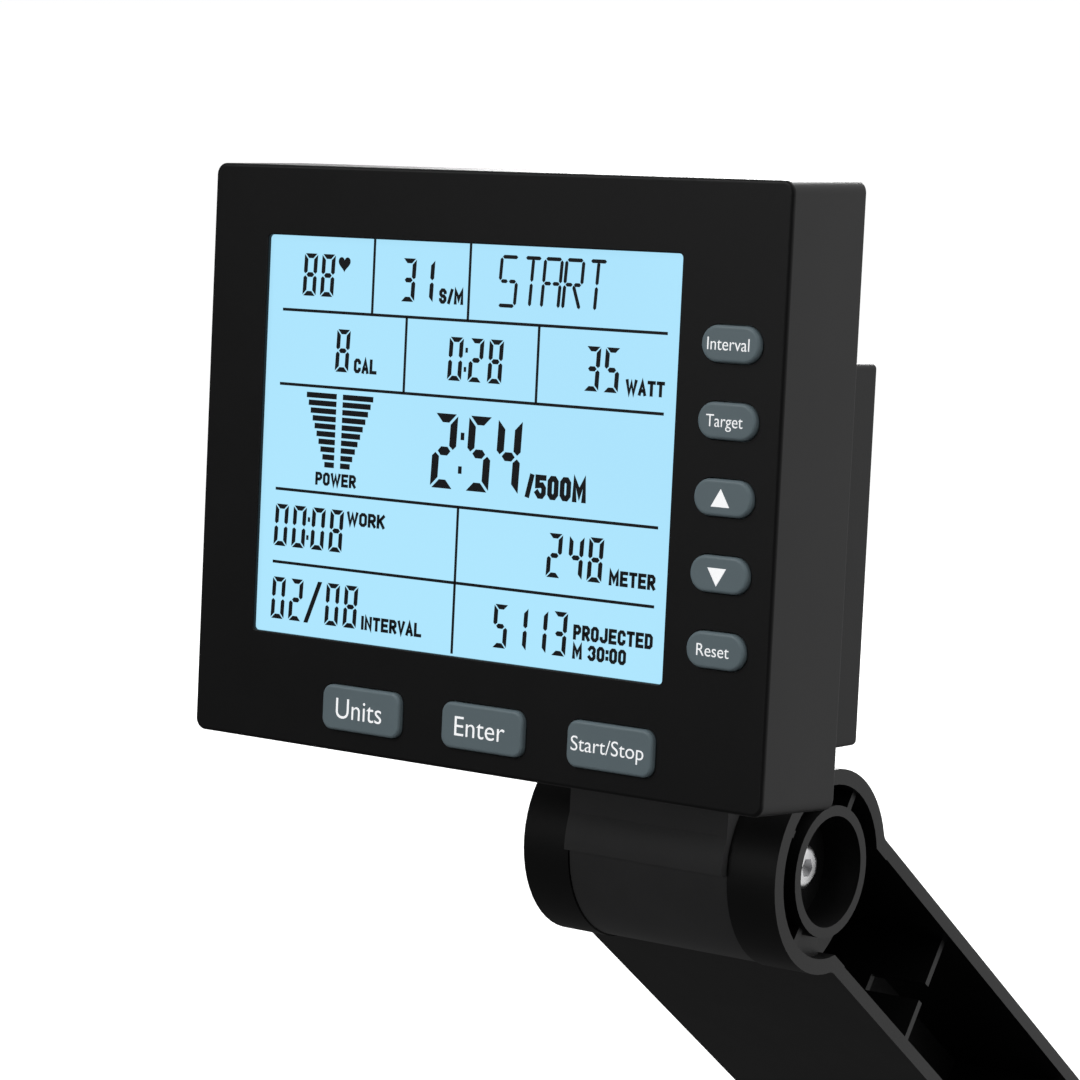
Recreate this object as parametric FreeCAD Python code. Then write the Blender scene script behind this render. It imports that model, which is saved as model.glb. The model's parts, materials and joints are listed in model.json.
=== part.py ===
import FreeCAD, Part
import math
import os

# Rowing machine console on its folding arm, in millimetres.
# +X is to the right when facing the screen, +Y points away from the user, +Z is up.
# The origin is the middle of the base bracket's underside.

V = FreeCAD.Vector
X_AXIS = V(1, 0, 0)
Y_AXIS = V(0, 1, 0)
Z_AXIS = V(0, 0, 1)
ORIGIN = V(0, 0, 0)

# --- pose -------------------------------------------------------------------------------
ARM_LENGTH = 400.0          # pivot to pivot
ARM_SLOPE = 39.8            # degrees below horizontal, going away from the user
FACE_LEAN = 4.5             # degrees that the screen leans back
PIVOT_HEIGHT = 45.0         # lower pivot above the base plate's underside

# --- modelling --------------------------------------------------------------------------
PAST = 1.0                  # a cutter reaches this far beyond the faces that it opens
ROOT = 0.5                  # an added piece reaches this far into what it grows from

# --- clearances -------------------------------------------------------------------------
RUNNING_GAP = 0.05          # radial, for a shaft that turns in its hole
SIDE_GAP = 0.3              # between faces that pass each other
SEAT_GAP = 0.05             # between a fixed pin or boss and its hole
FIT_GAP = 0.3               # round a cover or a panel in its recess

# --- case -------------------------------------------------------------------------------
CASE_WIDTH = 190.8
CASE_HEIGHT = 159.2
CASE_DEPTH = 33.5
CASE_CORNER = 3.2
INNER_CORNER = 0.8          # smallest corner inside the case
CASE_SIDE_DRAFT = 0.5       # how far the left and right sides grow from the face to the back
CASE_END_DRAFT = 1.5        # the same for the top and bottom
CASE_WALL = 2.5
FRONT_ROUND = 1.0
BACK_ROUND = 0.5
FACE_FORWARD = 119.3        # tilt axis to the face's plane
CASE_LOW = 34.9             # tilt axis up to the face's lower edge
COVER_THICK = 2.5           # the rear case's flat part

# --- case screws ------------------------------------------------------------------------
CASE_SCREW_SIDE = 4.2       # corner screw's axis from the side wall's inside
CASE_SCREW_END = 6.7        # from the top or bottom wall's inside
CASE_SCREW_MIDDLE = 4.1     # the two screws between the corners, from the same walls
CASE_BOSS_R = 3.5
CASE_SCREW_R = 1.5
CASE_SCREW_LENGTH = 10.0
CASE_HEAD_R = 2.8
CASE_HEAD = 1.6
CASE_HEAD_SINK = 0.1        # head below the cover's back
CROSS_WIDTH = 0.8           # cross slot in the head
CROSS_LENGTH = 3.2
CROSS_DEPTH = 1.0

# --- window and display -----------------------------------------------------------------
BEZEL_LEFT = 20.2           # face's left edge to the window
BEZEL_TOP = 19.2            # face's top edge to the window
BEZEL_RIGHT = 16.6          # window to the middle of the pill keys
BEZEL_LOW = 18.1            # window to the middle of the bottom keys
WINDOW_CORNER = 1.2
WINDOW_ROUND = 0.4          # on the window's front edge
LCD_RECESS = 1.7            # face to the display's surface
LCD_MARGIN = 4.0            # display hidden behind the bezel, each side
LCD_THICK = 2.2
GASKET_THICK = 0.5
GASKET_INSET = 1.0          # gasket's inner edge behind the window's edge
BACKLIGHT_THICK = 4.4
BACKLIGHT_MARGIN = 5.0      # strips of display left free above and below it
STRIP_THICK = 2.0
LED_COUNT = 4
LED_WIDTH = 5.0
LED_DEPTH = 2.6
LED_SPACE = 0.6             # in front of and behind a lamp

# --- circuit board ----------------------------------------------------------------------
BOARD_SPACE = 0.5           # behind the backlight
BOARD_THICK = 1.6
BOARD_SIDE_MARGIN = 8.8     # inside of the case's wall to the board
BOARD_END_MARGIN = 4.0
BOARD_CORNER = 2.0
BOARD_SCREW_SIDE = 6.0      # screw's axis from the board's side edge
BOARD_SCREW_TOP = 4.0       # from its top edge
BOARD_SCREW_BOTTOM = 9.0    # from its bottom edge
BOARD_BOSS_R = 2.8
BOARD_SCREW_R = 1.25
BOARD_HEAD_R = 2.4
BOARD_HEAD = 1.6
SWITCH_SIDE = 6.0
SWITCH_HEIGHT = 3.6
SWITCH_FLOOR = 0.6
CHIP_SIDE = 14.0
CHIP_THICK = 1.4
BUZZER_R = 6.0
BUZZER_HEIGHT = 7.0
BUZZER_X = -42.0
BUZZER_DROP = 36.5          # below the face's middle
BUZZER_MOUTH_R = 1.0

# --- keys -------------------------------------------------------------------------------
PILL_EDGE = 15.65           # face's right edge to the middle of the pill keys
PILL_DROP = 41.2            # face's top edge to the middle of the first pill key
PILL_WIDTH = 17.6
PILL_HEIGHT = 9.4
PILL_SPACE = 9.9            # between two pill keys
PILL_FLAT = 0.05            # straight left at each end of a pill key
PILL_ROUND = 0.9
BAR_TO_PILLS = 72.5         # middle bottom key to the middle of the pill keys
BAR_EDGE = 12.1             # face's lower edge to the middle of the bottom keys
BAR_WIDTH = 27.2
BAR_SPACE = 14.3            # between two bottom keys
BAR_HEIGHT = 12.4
BAR_CORNER = 3.2
BAR_ROUND = 0.9
KEY_PROUD = 1.5
KEY_TRAVEL = 0.8
KEY_GAP = 0.3               # round a key in its hole
KEY_REST = 0.1              # between a key's flange and the face's back
KEY_FLANGE = 1.2
KEY_FLANGE_THICK = 1.2
STEM_R = 1.6
STEM_SPARE = 0.1            # left between a pressed key's stem and its switch

# --- battery box ------------------------------------------------------------------------
BOX_ABOVE = 9.9             # face's lower edge up to the box's underside
BOX_BELOW_DOOR = 60.5       # box's underside up to the door
BOX_SHOULDER = 10.3         # door's end to the box's side
BOX_SPARE = 2.2             # case's back to the bay's floor
BOX_WALL = 2.5
BOX_ROUND = 1.5
BOX_BACK_ROUND = 1.2
CELL_R = 16.6
CELL_LENGTH = 61.0
CELL_NUB = 1.5
CELL_NUB_R = 4.75
CELL_ROUND = 0.8
BAY_SPARE = 5.5             # room for the spring at the end of the cells
BAY_SIDE = 1.5              # round the cells
BAY_FLOOR = 2.0
CONTACT_THICK = 0.5
CONTACT_HALF = 10.0
SPRING_SMALL_R = 5.0        # at the cell
SPRING_LARGE_R = 8.0        # at its plate
SPRING_WALL = 1.0
DOOR_THICK = 2.4
DOOR_LIP = 2.0              # door beyond the bay on each side
DOOR_PIN_R = 0.8
DOOR_PIN_REACH = 2.0
GRIP_COUNT = 4
GRIP_PITCH = 2.2
GRIP_WIDTH = 1.1
GRIP_HALF = 8.0
GRIP_PROUD = 0.6

# --- tilt bracket -----------------------------------------------------------------------
BARREL_R = 29.3
BARREL_HALF = 27.6
PAD_PROUD = 2.9             # pad at the barrel's front
PAD_LOW = 0.0               # degrees above the horizontal, at the front
PAD_HIGH = 24.0
NECK_SET = 1.94             # neck's front behind the pad
NECK_BACK = 14.0
NECK_SLANT = 6.0            # neck's front corner below the battery box
NECK_DROP = 0.8             # neck's top below the battery box's underside
PLATE_THICK = 8.0
PLATE_TO_DOOR = 7.0         # plate's top to the battery door
BRACKET_SCREW_EDGE = 9.0    # screw's axis from the plate's side
BRACKET_SCREW_LOW = 19.5    # above the neck's top
BRACKET_SCREW_HIGH = 8.6    # below the plate's top
BRACKET_SCREW_R = 2.0
BRACKET_SCREW_LENGTH = 18.0
BRACKET_HEAD_R = 3.8
BRACKET_HEAD = 2.6
BRACKET_HEAD_SINK = 0.2     # head below the plate's back
BRACKET_BOSS_WALL = 2.5
BOSS_FLOOR = 1.5            # plastic left beyond a pilot hole
HOLE_SPARE = 1.5            # a pilot hole beyond its screw's tip
BUSH_WALL = 3.0
BUSH_LENGTH = 12.0
BUSH_FLANGE = 2.0
BUSH_FLANGE_R = 11.0
CORE_IN = 14.0              # hollow moulded in the barrel's ends
CORE_SKIN = 3.8             # barrel left outside them
CORE_DEPTH = 20.0
CORE_RIB = 3.0

# --- arm --------------------------------------------------------------------------------
FLANGE_REACH = 22.15        # middle plane of the arm to a flange's outside
FLANGE_WALL = 4.2
WEB_THICK = 3.0
EAR_PROUD = 0.5             # ear's radius beyond the barrel's
EAR_WALL = 4.5
EAR_FLOOR = 3.7
EAR_DEPTH = 12.5            # ear's floor to its rim
NECK_FILLET = 4.0
RING_OUT = 19.25
RING_IN = 16.2
RIB_THICK = 2.3
TOP_RIB_ANGLE = 53.0        # ribs in an ear, in degrees from +Y towards +Z
TOP_RIB_LOW = 1.7           # below the rim
STUB_ANGLE = 142.0
STUB_LENGTH = 2.2           # inwards from the rim
STUB_LOW = 1.0
LOW_RIB_ANGLE = 229.0
LOW_RIB_LOW = 2.0
FILL_START = 231.0          # filled part between the boss ring and the rim
FILL_END = 271.0
FILL_LOW = 4.5
THROAT_GAP = 0.8            # between the barrel and the throat
THROAT_WALL = 3.5
CROSS_RIB_FIRST = 79.0
CROSS_RIB_PITCH = 100.0
CROSS_RIB_LOW = 4.1         # below the flanges' edges
NOTCH_WIDTH = 5.7
NOTCH_DEPTH = 19.0

# --- tilt bolt --------------------------------------------------------------------------
TILT_BOLT_R = 4.0
TILT_HEAD_R = 7.0
TILT_HEAD = 4.4
TILT_HEAD_ROUND = 2.5
TILT_HEX = 2.5              # half of the socket's width across flats
TILT_HEX_DEPTH = 2.6
SPACER_WALL = 2.0
WASHER_THICK = 1.2
TILT_WASHER_R = 8.0
TILT_NUT_FLAT = 6.5         # half of the width across flats
TILT_NUT = 6.8
BOLT_PROUD = 1.5            # thread beyond a nut

# --- lower pivot and base ---------------------------------------------------------------
PIVOT_BOLT_R = 4.0
PIVOT_HEAD_FLAT = 6.5
PIVOT_HEAD = 5.3
PIVOT_NUT = 8.0
PIVOT_WASHER_R = 8.0
PIVOT_WASHER = 1.6
ARM_BUSH_WALL = 2.0
ARM_BUSH_LENGTH = 14.0
ARM_BUSH_FLANGE = 1.0
ARM_BUSH_FLANGE_R = 9.0
HUB_WALL = 3.5              # arm's hub round the bushes
PLATE = 4.0                 # steel of the base bracket
BASE_EDGE = 13.0            # bolt hole's axis to the plate's end
BASE_LIP = 4.0              # lug's height above the plate at the plate's ends
LUG_R = 20.0
BEND_INSIDE = 1.8
BEND_OUTSIDE = 5.0
BOLT_SPACING_X = 60.0
BOLT_SPACING_Y = 66.0
BASE_HOLE_R = 3.3

# --- sensor socket ----------------------------------------------------------------------
SOCKET_X = -50.0
SOCKET_NOSE_R = 3.0
SOCKET_NOSE_SPARE = 0.5     # nose's root inside the wall
SOCKET_BODY_R = 4.5
SOCKET_BODY = 10.0
SOCKET_HOLE_R = 1.8
SOCKET_DEPTH = 9.0

# --- worked-out places, with the tilt axis as origin and the screen upright -------------
FACE_Y = -FACE_FORWARD
FACE_RISE = CASE_LOW + CASE_HEIGHT / 2
CASE_BACK = FACE_Y + CASE_DEPTH
COVER_FRONT = CASE_BACK - COVER_THICK
FACE_BACK = FACE_Y + CASE_WALL
INNER_HALF_WIDTH = CASE_WIDTH / 2 - CASE_WALL
INNER_HALF_HEIGHT = CASE_HEIGHT / 2 - CASE_WALL

PILL_X = CASE_WIDTH / 2 - PILL_EDGE
PILL_TOP = CASE_HEIGHT / 2 - PILL_DROP
PILL_PITCH = PILL_HEIGHT + PILL_SPACE
BAR_X = PILL_X - BAR_TO_PILLS
BAR_RISE = BAR_EDGE - CASE_HEIGHT / 2
BAR_PITCH = BAR_WIDTH + BAR_SPACE
WINDOW_LEFT = BEZEL_LEFT - CASE_WIDTH / 2
WINDOW_RIGHT = PILL_X - BEZEL_RIGHT
WINDOW_LOW = BAR_RISE + BEZEL_LOW
WINDOW_HIGH = CASE_HEIGHT / 2 - BEZEL_TOP

LCD_FRONT = FACE_Y + LCD_RECESS
LCD_BACK = LCD_FRONT + LCD_THICK
BACKLIGHT_BACK = LCD_BACK + BACKLIGHT_THICK
BOARD_FRONT = BACKLIGHT_BACK + BOARD_SPACE
BOARD_BACK = BOARD_FRONT + BOARD_THICK
BOARD_HALF_WIDTH = INNER_HALF_WIDTH - BOARD_SIDE_MARGIN
BOARD_HALF_HEIGHT = INNER_HALF_HEIGHT - BOARD_END_MARGIN
FLANGE_FRONT = FACE_BACK + KEY_REST
FLANGE_BACK = FLANGE_FRONT + KEY_FLANGE_THICK
STEM_END = BOARD_FRONT - SWITCH_FLOOR - KEY_TRAVEL - STEM_SPARE

BAY_HALF = CELL_LENGTH + CELL_NUB + BAY_SPARE / 2
BAY_DEPTH = 2 * (CELL_R + BAY_SIDE)
BOX_BACK = CASE_BACK + BOX_SPARE + BAY_DEPTH + DOOR_THICK
DOOR_FRONT = BOX_BACK - DOOR_THICK
BAY_FRONT = DOOR_FRONT - BAY_DEPTH
CELL_Y = BAY_FRONT + BAY_DEPTH / 2
BOX_LOW_Z = CASE_LOW + BOX_ABOVE
DOOR_LOW_Z = BOX_LOW_Z + BOX_BELOW_DOOR
BAY_LOW_Z = DOOR_LOW_Z + DOOR_LIP
BAY_HIGH_Z = BAY_LOW_Z + BAY_DEPTH
DOOR_HIGH_Z = BAY_HIGH_Z + DOOR_LIP
BOX_HIGH_Z = DOOR_HIGH_Z + BOX_WALL
CELL_Z = BAY_LOW_Z + BAY_DEPTH / 2
DOOR_HALF = BAY_HALF + DOOR_LIP
BOX_HALF_WIDTH = DOOR_HALF + BOX_SHOULDER
DOOR_AXIS_Y = BOX_BACK - DOOR_THICK / 2
DOOR_AXIS_Z = DOOR_LOW_Z + DOOR_THICK / 2
SOCKET_Y = (CASE_BACK + BOX_BACK) / 2

PAD_R = BARREL_R + PAD_PROUD
NECK_FRONT = PAD_R - NECK_SET
NECK_STEP = BOX_LOW_Z - NECK_DROP
PLATE_TOP_Z = DOOR_LOW_Z - PLATE_TO_DOOR
BRACKET_SCREW_X = BARREL_HALF - BRACKET_SCREW_EDGE
BRACKET_BOSS_R = BRACKET_SCREW_R + BRACKET_BOSS_WALL
CORE_OUT = BARREL_R - CORE_SKIN
SPACER_R = TILT_BOLT_R + SEAT_GAP + SPACER_WALL
BUSH_R = SPACER_R + RUNNING_GAP + BUSH_WALL

EAR_R = BARREL_R + EAR_PROUD
EAR_INNER = BARREL_HALF + SIDE_GAP
EAR_FACE = EAR_INNER + EAR_FLOOR
ARM_HALF = EAR_FACE + EAR_DEPTH
THROAT_R = BARREL_R + THROAT_GAP
ARM_BUSH_R = PIVOT_BOLT_R + RUNNING_GAP + ARM_BUSH_WALL
HUB_R = ARM_BUSH_R + HUB_WALL
CROSS_RIB_COUNT = 1 + int((ARM_LENGTH - FLANGE_REACH - CROSS_RIB_FIRST) / CROSS_RIB_PITCH)
RIB_HALF_SPAN = ARM_HALF - CROSS_RIB_LOW
LUG_INNER = ARM_HALF + ARM_BUSH_FLANGE + SIDE_GAP
LUG_OUTER = LUG_INNER + PLATE
BASE_HALF = BOLT_SPACING_Y / 2 + BASE_EDGE

KEYS = {
    "key_interval": (PILL_X, PILL_TOP),
    "key_target": (PILL_X, PILL_TOP - PILL_PITCH),
    "key_up": (PILL_X, PILL_TOP - 2 * PILL_PITCH),
    "key_down": (PILL_X, PILL_TOP - 3 * PILL_PITCH),
    "key_reset": (PILL_X, PILL_TOP - 4 * PILL_PITCH),
    "key_units": (BAR_X - BAR_PITCH, BAR_RISE),
    "key_enter": (BAR_X, BAR_RISE),
    "key_start_stop": (BAR_X + BAR_PITCH, BAR_RISE),
}
CASE_SCREW_X = INNER_HALF_WIDTH - CASE_SCREW_SIDE
CASE_SCREW_Z = INNER_HALF_HEIGHT - CASE_SCREW_END
CASE_SCREW_MIDDLE_Z = INNER_HALF_HEIGHT - CASE_SCREW_MIDDLE
CASE_SCREWS = [(sx * CASE_SCREW_X, sz * CASE_SCREW_Z) for sx in (-1, 1) for sz in (-1, 1)]
CASE_SCREWS.append((0.0, CASE_SCREW_MIDDLE_Z))
CASE_SCREWS.append((BAR_X - BAR_PITCH / 2, -CASE_SCREW_MIDDLE_Z))
BOARD_SCREW_X = BOARD_HALF_WIDTH - BOARD_SCREW_SIDE
BOARD_SCREW_ROWS = (BOARD_SCREW_BOTTOM - BOARD_HALF_HEIGHT, BOARD_HALF_HEIGHT - BOARD_SCREW_TOP)
BOARD_SCREWS = [(sx * BOARD_SCREW_X, z) for sx in (-1, 1) for z in BOARD_SCREW_ROWS]
BRACKET_SCREW_ROWS = (NECK_STEP + BRACKET_SCREW_LOW, PLATE_TOP_Z - BRACKET_SCREW_HIGH)
BRACKET_SCREWS = [(sx * BRACKET_SCREW_X, z) for sx in (-1, 1) for z in BRACKET_SCREW_ROWS]


# --- helpers ----------------------------------------------------------------------------
def box(x0, x1, y0, y1, z0, z1):
    return Part.makeBox(x1 - x0, y1 - y0, z1 - z0, V(x0, y0, z0))


def rod_x(radius, x0, x1, y=0.0, z=0.0):
    return Part.makeCylinder(radius, x1 - x0, V(x0, y, z), X_AXIS)


def rod_y(radius, y0, y1, x=0.0, z=0.0):
    return Part.makeCylinder(radius, y1 - y0, V(x, y0, z), Y_AXIS)


def rod_z(radius, z0, z1, x=0.0, y=0.0):
    return Part.makeCylinder(radius, z1 - z0, V(x, y, z0), Z_AXIS)


def tube_x(outer, inner, x0, x1, y=0.0, z=0.0):
    return rod_x(outer, x0, x1, y, z).cut(rod_x(inner, x0 - PAST, x1 + PAST, y, z))


def wedge_x(radius, x0, x1, start, end):
    """Slice of a cylinder along X, between two angles measured from +Y towards +Z."""
    a, b, c = (math.radians(angle) for angle in (start, (start + end) / 2, end))
    rim = [V(x0, radius * math.cos(t), radius * math.sin(t)) for t in (a, b, c)]
    centre = V(x0, 0, 0)
    sides = [Part.makeLine(centre, rim[0]), Part.Arc(*rim).toShape(), Part.makeLine(rim[2], centre)]
    return Part.Face(Part.Wire(sides)).extrude(V(x1 - x0, 0, 0))


def hexagon_x(half_flat, x0, x1, y=0.0, z=0.0):
    corner = half_flat / math.cos(math.pi / 6)
    angles = [math.radians(60 * i + 30) for i in range(7)]
    points = [V(x0, y + corner * math.cos(a), z + corner * math.sin(a)) for a in angles]
    return Part.Face(Part.makePolygon(points)).extrude(V(x1 - x0, 0, 0))


def rounded_wire(width, height, corner, y, cx=0.0, cz=0.0):
    """Rounded rectangle in the plane at depth y, its middle at (cx, cz)."""
    w = width / 2
    h = height / 2
    k = corner * (1 - math.sqrt(0.5))
    turns = [(1, -1), (1, 1), (-1, 1), (-1, -1)]
    edges = []
    for i, (sx, sz) in enumerate(turns):
        nx, nz = turns[(i + 1) % 4]
        along_x = V(cx + sx * (w - corner), y, cz + sz * h)
        along_z = V(cx + sx * w, y, cz + sz * (h - corner))
        middle = V(cx + sx * (w - k), y, cz + sz * (h - k))
        start, end = (along_x, along_z) if sx * sz < 0 else (along_z, along_x)
        edges.append(Part.Arc(start, middle, end).toShape())
        if nx == sx:
            after = V(cx + nx * w, y, cz + nz * (h - corner))
        else:
            after = V(cx + nx * (w - corner), y, cz + nz * h)
        edges.append(Part.makeLine(end, after))
    return Part.Wire(edges)


def rounded_block(width, height, corner, y0, y1, cx=0.0, cz=0.0):
    face = Part.Face(rounded_wire(width, height, corner, y0, cx, cz))
    return face.extrude(V(0, y1 - y0, 0))


def joined(first, others):
    return first.fuse(list(others)).removeSplitter()


def edges_at_y(shape, y):
    """Edges that lie in the plane at depth y."""
    found = []
    for edge in shape.Edges:
        span = edge.BoundBox
        if abs(span.YMin - y) < 1e-4 and abs(span.YMax - y) < 1e-4:
            found.append(edge)
    return found


def on_arm(shape):
    """From the arm's own frame (Y down the arm, Z across its depth) to the row's frame."""
    placed = shape.copy()
    placed.rotate(ORIGIN, X_AXIS, -ARM_SLOPE)
    return at_tilt_axis(placed)


def on_monitor(shape):
    """From the upright monitor's frame to the row's frame."""
    placed = shape.copy()
    placed.rotate(ORIGIN, X_AXIS, -FACE_LEAN)
    return at_tilt_axis(placed)


def at_tilt_axis(shape):
    slope = math.radians(ARM_SLOPE)
    shape.translate(V(0, -ARM_LENGTH * math.cos(slope), PIVOT_HEIGHT + ARM_LENGTH * math.sin(slope)))
    return shape


# --- monitor case -----------------------------------------------------------------------
def case_outline(depth, inset):
    share = depth / CASE_DEPTH
    width = CASE_WIDTH + 2 * (CASE_SIDE_DRAFT * share - inset)
    height = CASE_HEIGHT + 2 * (CASE_END_DRAFT * share - inset)
    corner = max(CASE_CORNER - inset, INNER_CORNER)
    return rounded_wire(width, height, corner, FACE_Y + depth, 0.0, FACE_RISE)


def window_block(margin, y0, y1):
    width = WINDOW_RIGHT - WINDOW_LEFT + 2 * margin
    height = WINDOW_HIGH - WINDOW_LOW + 2 * margin
    cx = (WINDOW_LEFT + WINDOW_RIGHT) / 2
    cz = FACE_RISE + (WINDOW_LOW + WINDOW_HIGH) / 2
    return rounded_block(width, height, WINDOW_CORNER, y0, y1, cx, cz)


def key_block(name, margin, y0, y1):
    x, rise = KEYS[name]
    pill = x == PILL_X
    width = PILL_WIDTH if pill else BAR_WIDTH
    height = PILL_HEIGHT if pill else BAR_HEIGHT
    corner = PILL_HEIGHT / 2 - PILL_FLAT if pill else BAR_CORNER
    wide = width + 2 * margin
    tall = height + 2 * margin
    return rounded_block(wide, tall, corner + margin, y0, y1, x, FACE_RISE + rise)


def window_edge(edge):
    """Whether an edge runs round the window, and not round a key's hole or the case."""
    across = WINDOW_LEFT - ROOT < edge.BoundBox.Center.x < WINDOW_RIGHT + ROOT
    low = FACE_RISE + WINDOW_LOW - ROOT
    high = FACE_RISE + WINDOW_HIGH + ROOT
    return across and low < edge.BoundBox.Center.z < high


def front_case():
    outer = Part.makeLoft([case_outline(0, 0), case_outline(CASE_DEPTH, 0)], True, True)
    outer = outer.makeFillet(FRONT_ROUND, edges_at_y(outer, FACE_Y))
    outer = outer.makeFillet(BACK_ROUND, edges_at_y(outer, CASE_BACK))
    inside = [case_outline(CASE_WALL, CASE_WALL), case_outline(CASE_DEPTH + PAST, CASE_WALL)]
    shell = outer.cut(Part.makeLoft(inside, True, True))
    bosses = [rod_y(CASE_BOSS_R, FACE_BACK - ROOT, COVER_FRONT, x, FACE_RISE + z) for x, z in CASE_SCREWS]
    bosses += [rod_y(BOARD_BOSS_R, FACE_BACK - ROOT, BOARD_FRONT, x, FACE_RISE + z) for x, z in BOARD_SCREWS]
    shell = joined(shell, bosses)
    cuts = [window_block(0, FACE_Y - PAST, FACE_BACK + PAST)]
    cuts.append(window_block(LCD_MARGIN + FIT_GAP, LCD_FRONT - GASKET_THICK, FACE_BACK + PAST))
    cuts += [key_block(name, KEY_GAP, FACE_Y - PAST, FACE_BACK + PAST) for name in KEYS]
    pilot_end = CASE_BACK - CASE_SCREW_LENGTH - HOLE_SPARE
    for x, z in CASE_SCREWS:
        cuts.append(rod_y(CASE_SCREW_R + SEAT_GAP, pilot_end, COVER_FRONT + PAST, x, FACE_RISE + z))
    for x, z in BOARD_SCREWS:
        cuts.append(rod_y(BOARD_SCREW_R + SEAT_GAP, FACE_BACK + ROOT, BOARD_FRONT + PAST, x, FACE_RISE + z))
    body = shell.cut(cuts)
    mouth = [edge for edge in edges_at_y(body, FACE_Y) if window_edge(edge)]
    return body.makeFillet(WINDOW_ROUND, mouth)


def socket_rod(radius, low, high):
    """Upright rod on the sensor socket's axis, between two heights above the battery box's underside."""
    return rod_z(radius, BOX_LOW_Z + low, BOX_LOW_Z + high, SOCKET_X, SOCKET_Y)


def rear_case():
    inset = CASE_WALL + FIT_GAP
    cover = [case_outline(CASE_DEPTH - COVER_THICK, inset), case_outline(CASE_DEPTH, inset)]
    middle = (BOX_LOW_Z + BOX_HIGH_Z) / 2
    tall = BOX_HIGH_Z - BOX_LOW_Z
    body = rounded_block(2 * BOX_HALF_WIDTH, tall, BOX_ROUND, CASE_BACK - ROOT, BOX_BACK, 0, middle)
    body = body.makeFillet(BOX_BACK_ROUND, edges_at_y(body, BOX_BACK))
    shell = joined(Part.makeLoft(cover, True, True), [body])
    inner = BOX_HALF_WIDTH - BOX_WALL
    low = BOX_LOW_Z + BOX_WALL
    pin_end = DOOR_HALF + DOOR_PIN_REACH + FIT_GAP
    cuts = [
        box(-inner, inner, COVER_FRONT - PAST, BAY_FRONT - BAY_FLOOR, low, BOX_HIGH_Z - BOX_WALL),
        box(-inner, inner, COVER_FRONT - PAST, BOX_BACK - BOX_WALL, low, DOOR_LOW_Z - BOX_WALL),
        box(-BAY_HALF, BAY_HALF, BAY_FRONT, BOX_BACK + PAST, BAY_LOW_Z, BAY_HIGH_Z),
        box(-DOOR_HALF - FIT_GAP, DOOR_HALF + FIT_GAP, DOOR_FRONT, BOX_BACK + PAST, DOOR_LOW_Z - FIT_GAP,
            DOOR_HIGH_Z + FIT_GAP),
        rod_x(DOOR_PIN_R + RUNNING_GAP, -pin_end, pin_end, DOOR_AXIS_Y, DOOR_AXIS_Z),
        socket_rod(SOCKET_NOSE_R + SEAT_GAP, -PAST, BOX_WALL + PAST),
    ]
    for x, z in CASE_SCREWS:
        cuts.append(rod_y(CASE_SCREW_R + SEAT_GAP, COVER_FRONT - PAST, CASE_BACK + PAST, x, FACE_RISE + z))
        cuts.append(rod_y(CASE_HEAD_R + SEAT_GAP, CASE_BACK - CASE_HEAD, CASE_BACK + PAST, x, FACE_RISE + z))
    pilot_end = BOX_BACK + PLATE_THICK - BRACKET_SCREW_LENGTH - HOLE_SPARE
    boss_end = pilot_end - BOSS_FLOOR
    bosses = [rod_y(BRACKET_BOSS_R, boss_end, BOX_BACK - ROOT, x, z) for x, z in BRACKET_SCREWS]
    pilots = [rod_y(BRACKET_SCREW_R + SEAT_GAP, pilot_end, BOX_BACK + PAST, x, z) for x, z in BRACKET_SCREWS]
    return joined(shell.cut(cuts), bosses).cut(pilots)


def battery_door():
    panel = box(-DOOR_HALF, DOOR_HALF, DOOR_FRONT, BOX_BACK, DOOR_AXIS_Z, DOOR_HIGH_Z)
    hinge_edge = rod_x(DOOR_THICK / 2, -DOOR_HALF, DOOR_HALF, DOOR_AXIS_Y, DOOR_AXIS_Z)
    pin_end = DOOR_HALF + DOOR_PIN_REACH
    pins = rod_x(DOOR_PIN_R, -pin_end, pin_end, DOOR_AXIS_Y, DOOR_AXIS_Z)
    grips = []
    for i in range(GRIP_COUNT):
        high = DOOR_HIGH_Z - (i + 2) * GRIP_PITCH
        low = high - GRIP_WIDTH
        grips.append(box(-GRIP_HALF, GRIP_HALF, BOX_BACK - ROOT, BOX_BACK + GRIP_PROUD, low, high))
    return joined(panel, [hinge_edge, pins] + grips)


def key_cap(name):
    cap = key_block(name, 0, FACE_Y - KEY_PROUD, FLANGE_FRONT)
    edge_round = PILL_ROUND if KEYS[name][0] == PILL_X else BAR_ROUND
    cap = cap.makeFillet(edge_round, edges_at_y(cap, FACE_Y - KEY_PROUD))
    flange = key_block(name, KEY_FLANGE, FLANGE_FRONT, FLANGE_BACK)
    x, rise = KEYS[name]
    stem = rod_y(STEM_R, FLANGE_BACK - ROOT, STEM_END, x, FACE_RISE + rise)
    return joined(cap, [flange, stem])


# --- what the case holds ----------------------------------------------------------------
def lcd_panel():
    return window_block(LCD_MARGIN, LCD_FRONT, LCD_BACK)


def lcd_gasket():
    ring = window_block(LCD_MARGIN, LCD_FRONT - GASKET_THICK, LCD_FRONT)
    return ring.cut(window_block(GASKET_INSET, LCD_FRONT - GASKET_THICK - PAST, LCD_FRONT + PAST))


def backlight_span():
    low = FACE_RISE + WINDOW_LOW - LCD_MARGIN + BACKLIGHT_MARGIN
    high = FACE_RISE + WINDOW_HIGH + LCD_MARGIN - BACKLIGHT_MARGIN
    return low, high


def backlight_panel():
    low, high = backlight_span()
    left = WINDOW_LEFT - LCD_MARGIN + LED_DEPTH
    return box(left, WINDOW_RIGHT + LCD_MARGIN, LCD_BACK, BACKLIGHT_BACK, low, high)


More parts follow.
